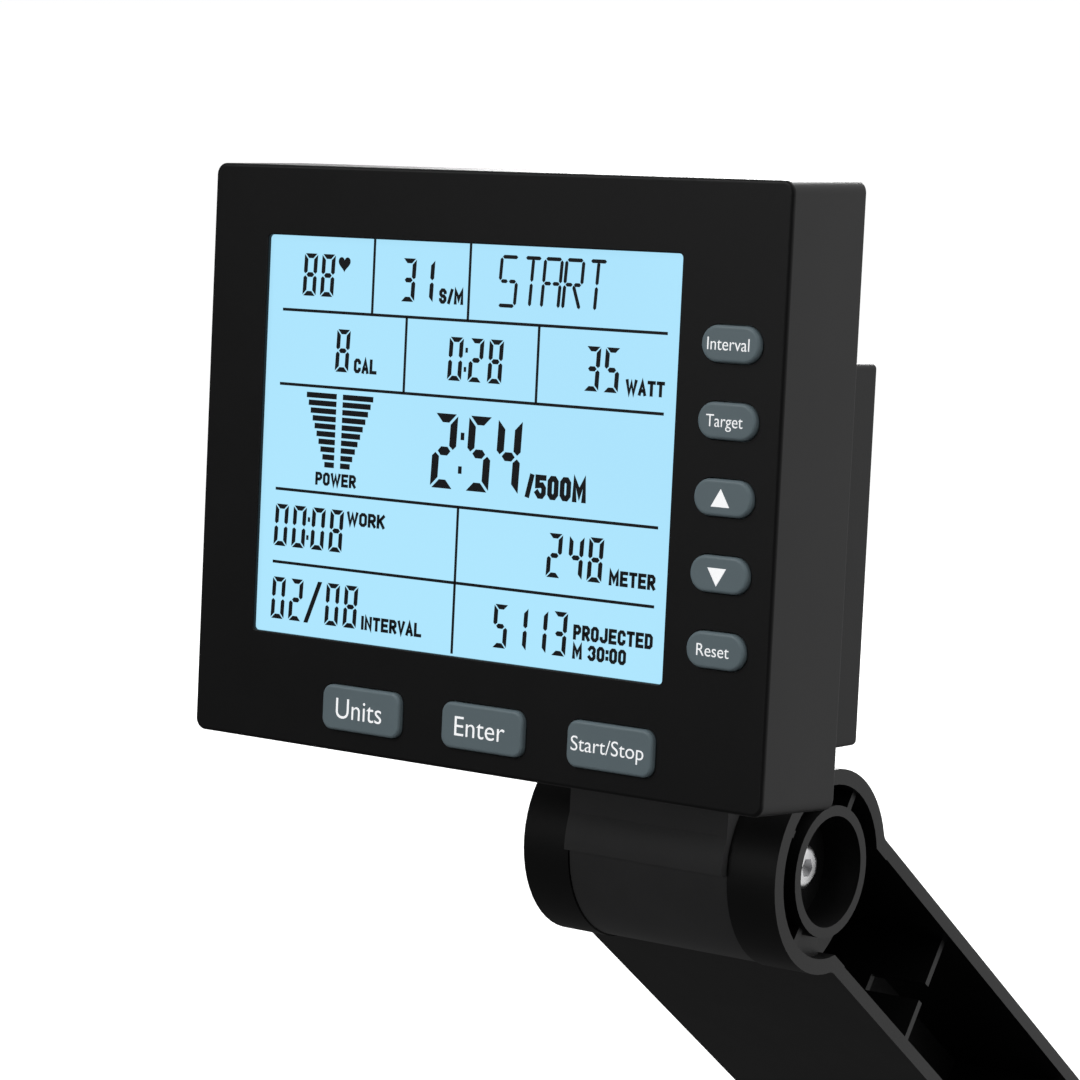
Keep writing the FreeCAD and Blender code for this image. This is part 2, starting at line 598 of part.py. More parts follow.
def backlight_leds():
    low, high = backlight_span()
    left = WINDOW_LEFT - LCD_MARGIN
    pitch = (high - low) / LED_COUNT
    front = LCD_BACK + LED_SPACE
    back = BACKLIGHT_BACK - LED_SPACE
    leds = []
    for i in range(LED_COUNT):
        z = low + (i + 0.5) * pitch
        leds.append(box(left, left + LED_DEPTH, front, back, z - LED_WIDTH / 2, z + LED_WIDTH / 2))
    return Part.makeCompound(leds)


def connector_strips():
    low, high = backlight_span()
    left = WINDOW_LEFT + LCD_MARGIN
    right = WINDOW_RIGHT - LCD_MARGIN
    middle = (BACKLIGHT_MARGIN - STRIP_THICK) / 2
    return Part.makeCompound([
        box(left, right, LCD_BACK, BOARD_FRONT, low - middle - STRIP_THICK, low - middle),
        box(left, right, LCD_BACK, BOARD_FRONT, high + middle, high + middle + STRIP_THICK),
    ])


def through_board(radius, x, rise):
    return rod_y(radius, BOARD_FRONT - PAST, BOARD_BACK + PAST, x, FACE_RISE + rise)


def circuit_board():
    wide = 2 * BOARD_HALF_WIDTH
    tall = 2 * BOARD_HALF_HEIGHT
    board = rounded_block(wide, tall, BOARD_CORNER, BOARD_FRONT, BOARD_BACK, 0, FACE_RISE)
    cuts = [through_board(CASE_BOSS_R + 2 * FIT_GAP, x, z) for x, z in CASE_SCREWS]
    cuts += [through_board(BOARD_SCREW_R + SEAT_GAP, x, z) for x, z in BOARD_SCREWS]
    return board.cut(cuts)


def board_screws():
    screws = []
    for x, z in BOARD_SCREWS:
        shank = rod_y(BOARD_SCREW_R, FACE_BACK + PAST, BOARD_BACK + ROOT, x, FACE_RISE + z)
        head = rod_y(BOARD_HEAD_R, BOARD_BACK, BOARD_BACK + BOARD_HEAD, x, FACE_RISE + z)
        screws.append(joined(shank, [head]))
    return Part.makeCompound(screws)


def tact_switches():
    half = SWITCH_SIDE / 2
    front = BOARD_FRONT - SWITCH_HEIGHT
    switches = []
    for x, rise in KEYS.values():
        z = FACE_RISE + rise
        body = box(x - half, x + half, front, BOARD_FRONT, z - half, z + half)
        well = rod_y(STEM_R + SIDE_GAP, front - PAST, BOARD_FRONT - SWITCH_FLOOR, x, z)
        switches.append(body.cut(well))
    return Part.makeCompound(switches)


def controller_chip():
    half = CHIP_SIDE / 2
    return box(-half, half, BOARD_BACK, BOARD_BACK + CHIP_THICK, FACE_RISE - half, FACE_RISE + half)


def buzzer():
    z = FACE_RISE - BUZZER_DROP
    back = BOARD_BACK + BUZZER_HEIGHT
    body = rod_y(BUZZER_R, BOARD_BACK, back, BUZZER_X, z)
    return body.cut(rod_y(BUZZER_MOUTH_R, back - PAST, back + PAST, BUZZER_X, z))


def cross_slots(x, back, z):
    """The two slots of a screw's cross, cut from the back of its head."""
    wide = CROSS_WIDTH / 2
    long = CROSS_LENGTH / 2
    return [
        box(x - wide, x + wide, back - CROSS_DEPTH, back + PAST, z - long, z + long),
        box(x - long, x + long, back - CROSS_DEPTH, back + PAST, z - wide, z + wide),
    ]


def case_screws():
    screws = []
    back = CASE_BACK - CASE_HEAD_SINK
    for x, rise in CASE_SCREWS:
        z = FACE_RISE + rise
        shank = rod_y(CASE_SCREW_R, CASE_BACK - CASE_SCREW_LENGTH, back - ROOT, x, z)
        head = rod_y(CASE_HEAD_R, CASE_BACK - CASE_HEAD, back, x, z)
        screws.append(joined(shank, [head]).cut(cross_slots(x, back, z)))
    return Part.makeCompound(screws)


def battery_cells():
    cells = []
    for i in range(2):
        start = CONTACT_THICK - BAY_HALF + i * (CELL_LENGTH + CELL_NUB)
        shoulder = start + CELL_NUB
        nub = rod_x(CELL_NUB_R, start, shoulder + ROOT, CELL_Y, CELL_Z)
        can = rod_x(CELL_R, shoulder, shoulder + CELL_LENGTH, CELL_Y, CELL_Z)
        rims = [edge for edge in can.Edges if edge.BoundBox.XLength < CELL_ROUND]
        cells.append(joined(can.makeFillet(CELL_ROUND, rims), [nub]))
    return Part.makeCompound(cells)


def contact_plate(x0, x1):
    half = CONTACT_HALF
    return box(x0, x1, CELL_Y - half, CELL_Y + half, CELL_Z - half, CELL_Z + half)


def battery_plate():
    return contact_plate(-BAY_HALF, CONTACT_THICK - BAY_HALF)


def battery_spring():
    plate_front = BAY_HALF - CONTACT_THICK
    start = CONTACT_THICK - BAY_HALF + 2 * (CELL_LENGTH + CELL_NUB)
    room = plate_front - start
    tip = V(start, CELL_Y, CELL_Z)
    outer = Part.makeCone(SPRING_SMALL_R, SPRING_LARGE_R, room, tip, X_AXIS)
    inner = Part.makeCone(SPRING_SMALL_R - SPRING_WALL, SPRING_LARGE_R - SPRING_WALL, room, tip, X_AXIS)
    return joined(contact_plate(plate_front, BAY_HALF), [outer.cut(inner)])


def sensor_socket():
    nose = socket_rod(SOCKET_NOSE_R, 0, BOX_WALL + SOCKET_NOSE_SPARE)
    body = socket_rod(SOCKET_BODY_R, BOX_WALL, BOX_WALL + SOCKET_BODY)
    return joined(nose, [body]).cut(socket_rod(SOCKET_HOLE_R, -PAST, SOCKET_DEPTH))


# --- tilt bracket -----------------------------------------------------------------------
def barrel_cores():
    """Hollows moulded in the barrel's ends, with four ribs left between them."""
    cores = []
    for side in (-1, 1):
        x0, x1 = sorted((side * (BARREL_HALF + PAST), side * (BARREL_HALF - CORE_DEPTH)))
        ring = tube_x(CORE_OUT, CORE_IN, x0, x1)
        rib = box(x0, x1, -CORE_OUT, CORE_OUT, -CORE_RIB / 2, CORE_RIB / 2)
        crossed = box(x0, x1, -CORE_RIB / 2, CORE_RIB / 2, -CORE_OUT, CORE_OUT)
        cores.append(ring.cut([rib, crossed]))
    return cores


def tilt_bracket():
    plate_back = BOX_BACK + PLATE_THICK
    outline = [
        (-NECK_FRONT, 0), (-NECK_FRONT, NECK_STEP - NECK_SLANT), (BOX_BACK, NECK_STEP),
        (BOX_BACK, PLATE_TOP_Z), (plate_back, PLATE_TOP_Z), (plate_back, NECK_STEP + PLATE_THICK),
        (-NECK_BACK, NECK_STEP - PLATE_THICK), (-NECK_BACK, 0),
    ]
    points = [V(-BARREL_HALF, y, z) for y, z in outline]
    neck = Part.Face(Part.makePolygon(points + points[:1])).extrude(V(2 * BARREL_HALF, 0, 0))
    barrel = rod_x(BARREL_R, -BARREL_HALF, BARREL_HALF)
    pad = wedge_x(PAD_R, -BARREL_HALF, BARREL_HALF, 180 - PAD_HIGH, 180 - PAD_LOW)
    past = BARREL_HALF + PAST
    collar = BARREL_HALF - BUSH_FLANGE
    cuts = barrel_cores()
    cuts.append(rod_x(BUSH_R + SEAT_GAP, -past, past))
    cuts.append(rod_x(BUSH_FLANGE_R + SEAT_GAP, collar, past))
    cuts.append(rod_x(BUSH_FLANGE_R + SEAT_GAP, -past, -collar))
    for x, z in BRACKET_SCREWS:
        cuts.append(rod_y(BRACKET_SCREW_R + SEAT_GAP, BOX_BACK - PAST, plate_back + PAST, x, z))
        cuts.append(rod_y(BRACKET_HEAD_R + SEAT_GAP, plate_back - BRACKET_HEAD, plate_back + PAST, x, z))
    return joined(barrel, [neck, pad]).cut(cuts)


def bracket_screws():
    plate_back = BOX_BACK + PLATE_THICK
    head_back = plate_back - BRACKET_HEAD_SINK
    screws = []
    for x, z in BRACKET_SCREWS:
        shank = rod_y(BRACKET_SCREW_R, plate_back - BRACKET_SCREW_LENGTH, head_back - ROOT, x, z)
        head = rod_y(BRACKET_HEAD_R, plate_back - BRACKET_HEAD, head_back, x, z)
        screws.append(joined(shank, [head]).cut(cross_slots(x, head_back, z)))
    return Part.makeCompound(screws)


def barrel_bushes():
    bushes = []
    for side in (-1, 1):
        sleeve = rod_x(BUSH_R, *sorted((side * BARREL_HALF, side * (BARREL_HALF - BUSH_LENGTH))))
        collar = rod_x(BUSH_FLANGE_R, *sorted((side * BARREL_HALF, side * (BARREL_HALF - BUSH_FLANGE))))
        hole = rod_x(SPACER_R + RUNNING_GAP, -BARREL_HALF - PAST, BARREL_HALF + PAST)
        bushes.append(joined(sleeve, [collar]).cut(hole))
    return Part.makeCompound(bushes)


# --- tilt bolt, on the arm --------------------------------------------------------------
def tilt_bolt():
    head_end = EAR_FACE + TILT_HEAD
    tip = -EAR_FACE - WASHER_THICK - TILT_NUT - BOLT_PROUD
    shank = rod_x(TILT_BOLT_R, tip, EAR_FACE + ROOT)
    head = rod_x(TILT_HEAD_R, EAR_FACE, head_end)
    rim = [edge for edge in head.Edges if edge.BoundBox.XMin > head_end - ROOT]
    head = head.makeFillet(TILT_HEAD_ROUND, rim)
    socket = hexagon_x(TILT_HEX, head_end - TILT_HEX_DEPTH, head_end + PAST)
    return joined(shank, [head]).cut(socket)


def tilt_washer():
    return tube_x(TILT_WASHER_R, TILT_BOLT_R + SEAT_GAP, -EAR_FACE - WASHER_THICK, -EAR_FACE)


def tilt_nut():
    end = -EAR_FACE - WASHER_THICK
    start = end - TILT_NUT
    return hexagon_x(TILT_NUT_FLAT, start, end).cut(rod_x(TILT_BOLT_R + SEAT_GAP, start - PAST, end + PAST))


def spacer_tube():
    return tube_x(SPACER_R, TILT_BOLT_R + SEAT_GAP, -EAR_INNER, EAR_INNER)


# --- arm --------------------------------------------------------------------------------
def arm_outline(inset, half_width):
    """The arm's side view, pulled in by inset, as a solid of the given half width."""
    reach = FLANGE_REACH - inset
    head = rod_x(EAR_R - inset, -half_width, half_width)
    strip = box(-half_width, half_width, 0, ARM_LENGTH, -reach, reach)
    end = rod_x(reach, -half_width, half_width, ARM_LENGTH, 0)
    return joined(head, [strip, end])


def concave_edges(shape):
    """Edges where the head's round meets the flanges."""
    start = math.sqrt(EAR_R ** 2 - FLANGE_REACH ** 2)
    found = []
    for edge in shape.Edges:
        span = edge.BoundBox
        straight = span.YLength < ROOT and span.ZLength < ROOT
        if straight and abs(span.YMin - start) < ROOT and abs(abs(span.ZMin) - FLANGE_REACH) < ROOT:
            found.append(edge)
    return found


def arm_pocket(side):
    """Space between the flanges on one side of the web, with the head's shallower part."""
    past = ARM_HALF + PAST
    reach = FLANGE_REACH - FLANGE_WALL
    strip = box(-past, past, EAR_R - EAR_WALL, ARM_LENGTH, -reach, reach)
    inner = joined(arm_outline(EAR_WALL, past), [strip])
    head_zone = rod_x(THROAT_R + THROAT_WALL, *sorted((side * EAR_FACE, side * past)))
    x0, x1 = sorted((side * WEB_THICK / 2, side * past))
    tail_zone = box(x0, x1, 0, ARM_LENGTH + FLANGE_REACH, -FLANGE_REACH, FLANGE_REACH)
    tail_zone = tail_zone.cut(rod_x(THROAT_R + THROAT_WALL, -past, past))
    return inner.common(head_zone.fuse(tail_zone))


def ear_rib(side, angle, r0, r1, low):
    """Radial rib in an ear, its top edge set below the rim."""
    x0, x1 = sorted((side * (EAR_FACE - ROOT), side * (ARM_HALF - low)))
    rib = box(x0, x1, r0, r1, -RIB_THICK / 2, RIB_THICK / 2)
    rib.rotate(ORIGIN, X_AXIS, angle + ARM_SLOPE)
    return rib


def ear_fill(side):
    """Filled part between the boss ring and the rim."""
    x0, x1 = sorted((side * (EAR_FACE - ROOT), side * (ARM_HALF - FILL_LOW)))
    wedge = wedge_x(EAR_R - ROOT, x0, x1, FILL_START + ARM_SLOPE, FILL_END + ARM_SLOPE)
    return wedge.cut(rod_x(RING_OUT - ROOT, x0 - PAST, x1 + PAST))


def cross_ribs(side):
    """Ribs between the flanges, each with a notch at its middle."""
    reach = FLANGE_REACH - PAST
    x0, x1 = sorted((0.0, side * RIB_HALF_SPAN))
    notch_x = sorted((side * (RIB_HALF_SPAN - NOTCH_DEPTH), side * (ARM_HALF + PAST)))
    ribs = []
    for i in range(CROSS_RIB_COUNT):
        s = CROSS_RIB_FIRST + i * CROSS_RIB_PITCH
        rib = box(x0, x1, s - RIB_THICK / 2, s + RIB_THICK / 2, -reach, reach)
        notch = box(*notch_x, s - RIB_THICK, s + RIB_THICK, -NOTCH_WIDTH / 2, NOTCH_WIDTH / 2)
        ribs.append(rib.cut(notch))
    return ribs


def monitor_arm():
    body = arm_outline(0.0, ARM_HALF)
    body = body.makeFillet(NECK_FILLET, concave_edges(body))
    body = body.cut([arm_pocket(-1), arm_pocket(1)])
    rim = EAR_R - ROOT
    boss = RING_OUT - ROOT
    added = []
    for side in (-1, 1):
        x0, x1 = sorted((side * (EAR_FACE - ROOT), side * ARM_HALF))
        added.append(tube_x(RING_OUT, RING_IN, x0, x1))
        added.append(ear_rib(side, TOP_RIB_ANGLE, boss, rim, TOP_RIB_LOW))
        added.append(ear_rib(side, STUB_ANGLE, EAR_R - EAR_WALL - STUB_LENGTH, rim, STUB_LOW))
        added.append(ear_rib(side, LOW_RIB_ANGLE, boss, rim, LOW_RIB_LOW))
        added.append(ear_fill(side))
        added += cross_ribs(side)
    added.append(rod_x(HUB_R, -ARM_HALF, ARM_HALF, ARM_LENGTH, 0))
    reach = FLANGE_REACH - PAST
    half = RIB_THICK / 2
    added.append(box(-RIB_HALF_SPAN, RIB_HALF_SPAN, ARM_LENGTH - half, ARM_LENGTH + half, -reach, reach))
    past = ARM_HALF + PAST
    cuts = [
        rod_x(THROAT_R, -EAR_INNER, EAR_INNER),
        rod_x(TILT_BOLT_R + SEAT_GAP, -past, past),
        rod_x(ARM_BUSH_R + SEAT_GAP, -past, past, ARM_LENGTH, 0),
    ]
    return joined(body, added).cut(cuts)


def arm_bushes():
    bushes = []
    past = ARM_HALF + ARM_BUSH_FLANGE + PAST
    hole = rod_x(PIVOT_BOLT_R + RUNNING_GAP, -past, past, ARM_LENGTH, 0)
    for side in (-1, 1):
        x0, x1 = sorted((side * ARM_HALF, side * (ARM_HALF - ARM_BUSH_LENGTH)))
        sleeve = rod_x(ARM_BUSH_R, x0, x1, ARM_LENGTH, 0)
        x0, x1 = sorted((side * ARM_HALF, side * (ARM_HALF + ARM_BUSH_FLANGE)))
        collar = rod_x(ARM_BUSH_FLANGE_R, x0, x1, ARM_LENGTH, 0)
        bushes.append(joined(sleeve, [collar]).cut(hole))
    return Part.makeCompound(bushes)


# --- base -------------------------------------------------------------------------------
def pivot_discs(radius, x0, x1):
    """Two discs on the lower pivot, one on each side."""
    return [rod_x(radius, x0, x1, 0, PIVOT_HEIGHT), rod_x(radius, -x1, -x0, 0, PIVOT_HEIGHT)]


def edges_along_y(shape, z):
    """Edges along Y at height z."""
    found = []
    for edge in shape.Edges:
        span = edge.BoundBox
        if span.XLength < 1e-4 and abs(span.ZMin - z) < 1e-4 and abs(span.ZMax - z) < 1e-4:
            found.append(edge)
    return found


def base_bracket():
    outside = box(-LUG_OUTER, LUG_OUTER, -BASE_HALF, BASE_HALF, 0, PIVOT_HEIGHT)
    outside = outside.makeFillet(BEND_OUTSIDE, edges_along_y(outside, 0.0))
    inside = box(-LUG_INNER, LUG_INNER, -BASE_HALF - PAST, BASE_HALF + PAST, PLATE, PIVOT_HEIGHT + PAST)
    inside = inside.makeFillet(BEND_INSIDE, edges_along_y(inside, PLATE))
    side_view = [
        (-BASE_HALF, 0), (BASE_HALF, 0), (BASE_HALF, PLATE + BASE_LIP), (LUG_R, PIVOT_HEIGHT),
        (-LUG_R, PIVOT_HEIGHT), (-BASE_HALF, PLATE + BASE_LIP),
    ]
    past = LUG_OUTER + PAST
    points = [V(-past, y, z) for y, z in side_view]
    keep = Part.Face(Part.makePolygon(points + points[:1])).extrude(V(2 * past, 0, 0))
    shape = joined(outside.cut(inside).common(keep), pivot_discs(LUG_R, LUG_INNER, LUG_OUTER))
    cuts = [rod_x(PIVOT_BOLT_R + SEAT_GAP, -past, past, 0, PIVOT_HEIGHT)]
    for sx in (-1, 1):
        for sy in (-1, 1):
            x = sx * BOLT_SPACING_X / 2
            y = sy * BOLT_SPACING_Y / 2
            cuts.append(rod_z(BASE_HOLE_R, -PAST, PLATE + PAST, x, y))
    return shape.cut(cuts)


def pivot_bolt():
    head_start = LUG_OUTER + PIVOT_WASHER
    tip = -LUG_OUTER - PIVOT_WASHER - PIVOT_NUT - BOLT_PROUD
    shank = rod_x(PIVOT_BOLT_R, tip, head_start + ROOT, 0, PIVOT_HEIGHT)
    head = hexagon_x(PIVOT_HEAD_FLAT, head_start, head_start + PIVOT_HEAD, 0, PIVOT_HEIGHT)
    return joined(shank, [head])


def pivot_nut():
    end = -LUG_OUTER - PIVOT_WASHER
    start = end - PIVOT_NUT
    nut = hexagon_x(PIVOT_HEAD_FLAT, start, end, 0, PIVOT_HEIGHT)
    return nut.cut(rod_x(PIVOT_BOLT_R + SEAT_GAP, start - PAST, end + PAST, 0, PIVOT_HEIGHT))


def pivot_washers():
    past = LUG_OUTER + PIVOT_WASHER + PAST
    hole = rod_x(PIVOT_BOLT_R + SEAT_GAP, -past, past, 0, PIVOT_HEIGHT)
    discs = pivot_discs(PIVOT_WASHER_R, LUG_OUTER, LUG_OUTER + PIVOT_WASHER)
    return Part.makeCompound([disc.cut(hole) for disc in discs])


# --- writing ----------------------------------------------------------------------------
MONITOR_NODES = {
    "front_case": front_case,
    "rear_case": rear_case,
    "battery_door": battery_door,
    "lcd_panel": lcd_panel,
    "lcd_gasket": lcd_gasket,
    "backlight_panel": backlight_panel,
    "backlight_leds": backlight_leds,
    "connector_strips": connector_strips,
    "circuit_board": circuit_board,
    "board_screws": board_screws,
    "tact_switches": tact_switches,
    "controller_chip": controller_chip,
    "buzzer": buzzer,
    "case_screws": case_screws,
    "battery_cells": battery_cells,
    "battery_plate": battery_plate,
    "battery_spring": battery_spring,
    "sensor_socket": sensor_socket,
    "tilt_bracket": tilt_bracket,
    "bracket_screws": bracket_screws,
    "barrel_bushes": barrel_bushes,
}
ARM_NODES = {
    "monitor_arm": monitor_arm,
    "arm_bushes": arm_bushes,
    "tilt_bolt": tilt_bolt,
    "tilt_washer": tilt_washer,
    "tilt_nut": tilt_nut,
    "spacer_tube": spacer_tube,
}
BASE_NODES = {
    "base_bracket": base_bracket,
    "pivot_bolt": pivot_bolt,
    "pivot_nut": pivot_nut,
    "pivot_washers": pivot_washers,
}

os.makedirs("parts", exist_ok=True)
for name, make in MONITOR_NODES.items():
    on_monitor(make()).exportStep("parts/" + name + ".step")
for name in KEYS:
    on_monitor(key_cap(name)).exportStep("parts/" + name + ".step")
for name, make in ARM_NODES.items():
    on_arm(make()).exportStep("parts/" + name + ".step")
for name, make in BASE_NODES.items():
    make().exportStep("parts/" + name + ".step")
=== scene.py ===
# %% [markdown]
# # Rowing machine console on its folding arm
#
# This file dresses a finished mechanical model. What is left for Blender is the look: the printed
# legends, the figures on the display, the finish of every part, the light and the camera.

# %% Load the mechanical model
import json
import math

import bpy
import numpy as np
from mathutils import Matrix, Vector


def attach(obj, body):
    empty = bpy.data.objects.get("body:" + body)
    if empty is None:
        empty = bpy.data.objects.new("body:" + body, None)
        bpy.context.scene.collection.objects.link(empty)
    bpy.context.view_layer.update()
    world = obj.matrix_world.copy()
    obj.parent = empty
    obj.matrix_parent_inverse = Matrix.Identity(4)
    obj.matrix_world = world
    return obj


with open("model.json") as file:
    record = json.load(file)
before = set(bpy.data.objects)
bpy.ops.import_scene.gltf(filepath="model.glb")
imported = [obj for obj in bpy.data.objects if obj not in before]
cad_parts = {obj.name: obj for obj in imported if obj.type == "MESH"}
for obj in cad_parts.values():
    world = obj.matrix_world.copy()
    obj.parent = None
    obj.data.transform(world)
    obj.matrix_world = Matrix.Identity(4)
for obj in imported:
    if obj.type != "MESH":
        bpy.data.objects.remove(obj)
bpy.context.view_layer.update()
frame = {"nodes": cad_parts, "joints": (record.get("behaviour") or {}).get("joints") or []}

print("parts:", len(frame["nodes"]))

# %% [markdown]
# ## A ruler on the screen's face
#
# The console leans back a little, so nothing on its face lies along the world's axes. A designer
# would draw the face flat and then place the drawing. The same is done here: U runs to the right,
# V up the face and N into its depth. The keys slide straight into the case, so a key's joint gives
# N, and the other two follow. `flat_box` measures a part in these axes, from the part's own
# points.

# %% Axes of the face
MM = 0.001
press = next(joint for joint in frame["joints"] if joint["name"] == "key_enter_press")
N = np.array(press["axis"], float)
N /= np.linalg.norm(N)
U = np.array([1.0, 0.0, 0.0])
V = np.cross(U, N)
AXES = np.array([U, V, N])


def points_of(part):
    """All points of a part's mesh as one array of rows."""
    mesh = frame["nodes"][part].data
    flat = np.empty(len(mesh.vertices) * 3, np.float32)
    mesh.vertices.foreach_get("co", flat)
    return flat.reshape(-1, 3).astype(float)


def flat_box(part):
    """Lowest and highest corner of a part along U, V and N."""
    along = points_of(part) @ AXES.T
    return along.min(0), along.max(0)


def placed(flat):
    """World points from points along U, V, N: the face's middle plus u U + v V + n N."""
    return FACE_MIDDLE + np.asarray(flat, float) @ AXES


case_low, case_high = flat_box("front_case")
lcd_low, lcd_high = flat_box("lcd_panel")
middle_flat = (case_low + case_high) / 2
middle_flat[2] = case_low[2]
FACE_MIDDLE = middle_flat @ AXES
LCD_DEPTH = lcd_low[2] - case_low[2]
print("case is", np.round((case_high - case_low) / MM, 1), "mm")
print("display lies", round(LCD_DEPTH / MM, 2), "mm deep")

# %% [markdown]
# ## Finishes
#
# Every finish is a small network of nodes. Noise on Object coordinates breaks up the gloss, and a
# finer noise through a Bump node gives the grain that a mould leaves on plastic. Object
# coordinates are in metres here, so a scale of 2000 gives grain about half a millimetre across.


# %% Helpers for materials
NOISE_LOW, NOISE_HIGH = 0.3, 0.7  # nearly all of a noise pattern lies between these


def new_finish(name, colour, roughness, specular=0.5, metallic=0.0):
    """A material and its shader, with plain values, ready for more nodes."""
    finish = bpy.data.materials.new(name)
    finish.use_nodes = True
    shader = finish.node_tree.nodes["Principled BSDF"]
    shader.inputs["Base Color"].default_value = (*colour, 1)
    shader.inputs["Roughness"].default_value = roughness
    shader.inputs["Specular IOR Level"].default_value = specular
    shader.inputs["Metallic"].default_value = metallic
    return finish, shader


def noise_on(tree, scale, detail=3.0, stretch=(1, 1, 1)):
    """A noise pattern on the object's own coordinates."""
    nodes = tree.nodes
    place = nodes.new("ShaderNodeTexCoord")
    turn = nodes.new("ShaderNodeMapping")
    turn.inputs["Scale"].default_value = stretch
    noise = nodes.new("ShaderNodeTexNoise")
    noise.inputs["Scale"].default_value = scale
    noise.inputs["Detail"].default_value = detail
    tree.links.new(place.outputs["Object"], turn.inputs["Vector"])
    tree.links.new(turn.outputs["Vector"], noise.inputs["Vector"])
    return noise.outputs["Fac"]


def spread(tree, source, low, high, socket):
    """Stretches a noise pattern to the span from low to high, and plugs it into a socket."""
    span = tree.nodes.new("ShaderNodeMapRange")
    span.inputs["From Min"].default_value = NOISE_LOW
    span.inputs["From Max"].default_value = NOISE_HIGH
    span.inputs["To Min"].default_value = low
    span.inputs["To Max"].default_value = high
    tree.links.new(source, span.inputs["Value"])
    tree.links.new(span.outputs["Result"], socket)


def two_tones(tree, source, dark, light, socket):
    """Mixes two colours by a pattern."""
    ramp = tree.nodes.new("ShaderNodeValToRGB")
    ends = ramp.color_ramp.elements
    ends[0].position, ends[0].color = NOISE_LOW, (*dark, 1)
    ends[1].position, ends[1].color = NOISE_HIGH, (*light, 1)
    tree.links.new(source, ramp.inputs["Fac"])
    tree.links.new(ramp.outputs["Color"], socket)


def raised(tree, source, height, shader):
    """Turns a pattern into small bumps, its height in metres."""
    bump = tree.nodes.new("ShaderNodeBump")
    bump.inputs["Distance"].default_value = height
    bump.inputs["Strength"].default_value = 1.0
    tree.links.new(source, bump.inputs["Height"])
    tree.links.new(bump.outputs["Normal"], shader.inputs["Normal"])


# %% [markdown]
# ## Moulded plastic
#
# The case, bracket, arm and keys are injection moulded. What tells one moulding from another is
# how coarse the grain is, how deep, and how much the gloss wanders, so one function takes those.


# %% Moulded plastic
DRIFT_SCALE, DRIFT_DETAIL = 60.0, 4.0  # the slow noise that moves colour and gloss
SMOOTHER, ROUGHER = 0.01, 0.015  # how far the gloss drifts each way


def moulded(name, colour, roughness, grain, depth, specular=0.5, mottle=0.07):
    """Plastic with a mould grain: colour and gloss wander slowly, and fine noise gives bumps."""
    finish, shader = new_finish(name, colour, roughness, specular)
    tree = finish.node_tree
    slow = noise_on(tree, DRIFT_SCALE, DRIFT_DETAIL)
    tone = np.array(colour)
    dark, light = tone * (1 - mottle), tone * (1 + mottle)
    two_tones(tree, slow, dark, light, shader.inputs["Base Color"])
    spread(tree, slow, roughness - SMOOTHER, roughness + ROUGHER, shader.inputs["Roughness"])
    fine = noise_on(tree, grain, 2.0)
    raised(tree, fine, depth, shader)
    return finish


CASE = moulded("case_plastic", (0.0055, 0.0055, 0.0058), 0.42, 2600, 0.000012, 0.25)
REAR = moulded("rear_plastic", (0.0062, 0.0062, 0.0066), 0.5, 1700, 0.00002, 0.25)
BRACKET = moulded("bracket_plastic", (0.062, 0.062, 0.0635), 0.48, 1900, 0.000014, 0.4)
ARM = moulded("arm_plastic", (0.0058, 0.0058, 0.006), 0.46, 1500, 0.00002, 0.3)
KEY = moulded("key_plastic", (0.205, 0.270, 0.298), 0.42, 3200, 0.000006, 0.35, 0.03)
BUSH = moulded("bush_plastic", (0.62, 0.6, 0.53), 0.45, 2400, 0.000008)
CHIP = moulded("chip_resin", (0.012, 0.012, 0.013), 0.62, 3800, 0.00001)
print("moulded finishes:", len(bpy.data.materials))

# %% [markdown]
# ## Metals
#
# Plated steel has soft cloudy patches and fine scratches, and powder coat has the orange-peel skin
# of melted powder.


# %% Metals
CLOUD_DARK, CLOUD_LIGHT = 0.82, 1.08  # shares of the metal's own tone
SCRATCH_SCALE, SCRATCH_STRETCH, SCRATCH_HEIGHT = 900, (1, 1, 14), 0.000004
PEEL_SCALE, PEEL_HEIGHT = 900, 0.00003
COAT_SMOOTH, COAT_ROUGH = 0.36, 0.5


def plated(name, colour, roughness, cloud):
    """Plated metal: a cloudy noise moves tone and gloss, and a stretched one scratches it."""
    finish, shader = new_finish(name, colour, roughness, metallic=1.0)
    tree = finish.node_tree
    clouds = noise_on(tree, cloud, 5.0)
    tone = np.array(colour)
    dark, light = tone * CLOUD_DARK, tone * CLOUD_LIGHT
    two_tones(tree, clouds, dark, light, shader.inputs["Base Color"])
    spread(tree, clouds, roughness - 0.07, roughness + 0.1, shader.inputs["Roughness"])
    scratches = noise_on(tree, SCRATCH_SCALE, 2.0, SCRATCH_STRETCH)
    raised(tree, scratches, SCRATCH_HEIGHT, shader)
    return finish


def powder_coat(name, colour):
    """Powder coat: round cells of a Voronoi pattern make the orange peel."""
    finish, shader = new_finish(name, colour, 0.42, 0.45)
    tree = finish.node_tree
    place = tree.nodes.new("ShaderNodeTexCoord")
    cells = tree.nodes.new("ShaderNodeTexVoronoi")
    cells.feature = "SMOOTH_F1"
    cells.inputs["Scale"].default_value = PEEL_SCALE
    tree.links.new(place.outputs["Object"], cells.inputs["Vector"])
    raised(tree, cells.outputs["Distance"], PEEL_HEIGHT, shader)
    slow = noise_on(tree, 45, 3.0)
    spread(tree, slow, COAT_SMOOTH, COAT_ROUGH, shader.inputs["Roughness"])
    return finish


ZINC = plated("zinc_steel", (0.6, 0.6, 0.57), 0.36, 260)
BRIGHT = plated("bright_steel", (0.86, 0.86, 0.87), 0.26, 180)
COATED = powder_coat("painted_steel", (0.014, 0.014, 0.015))

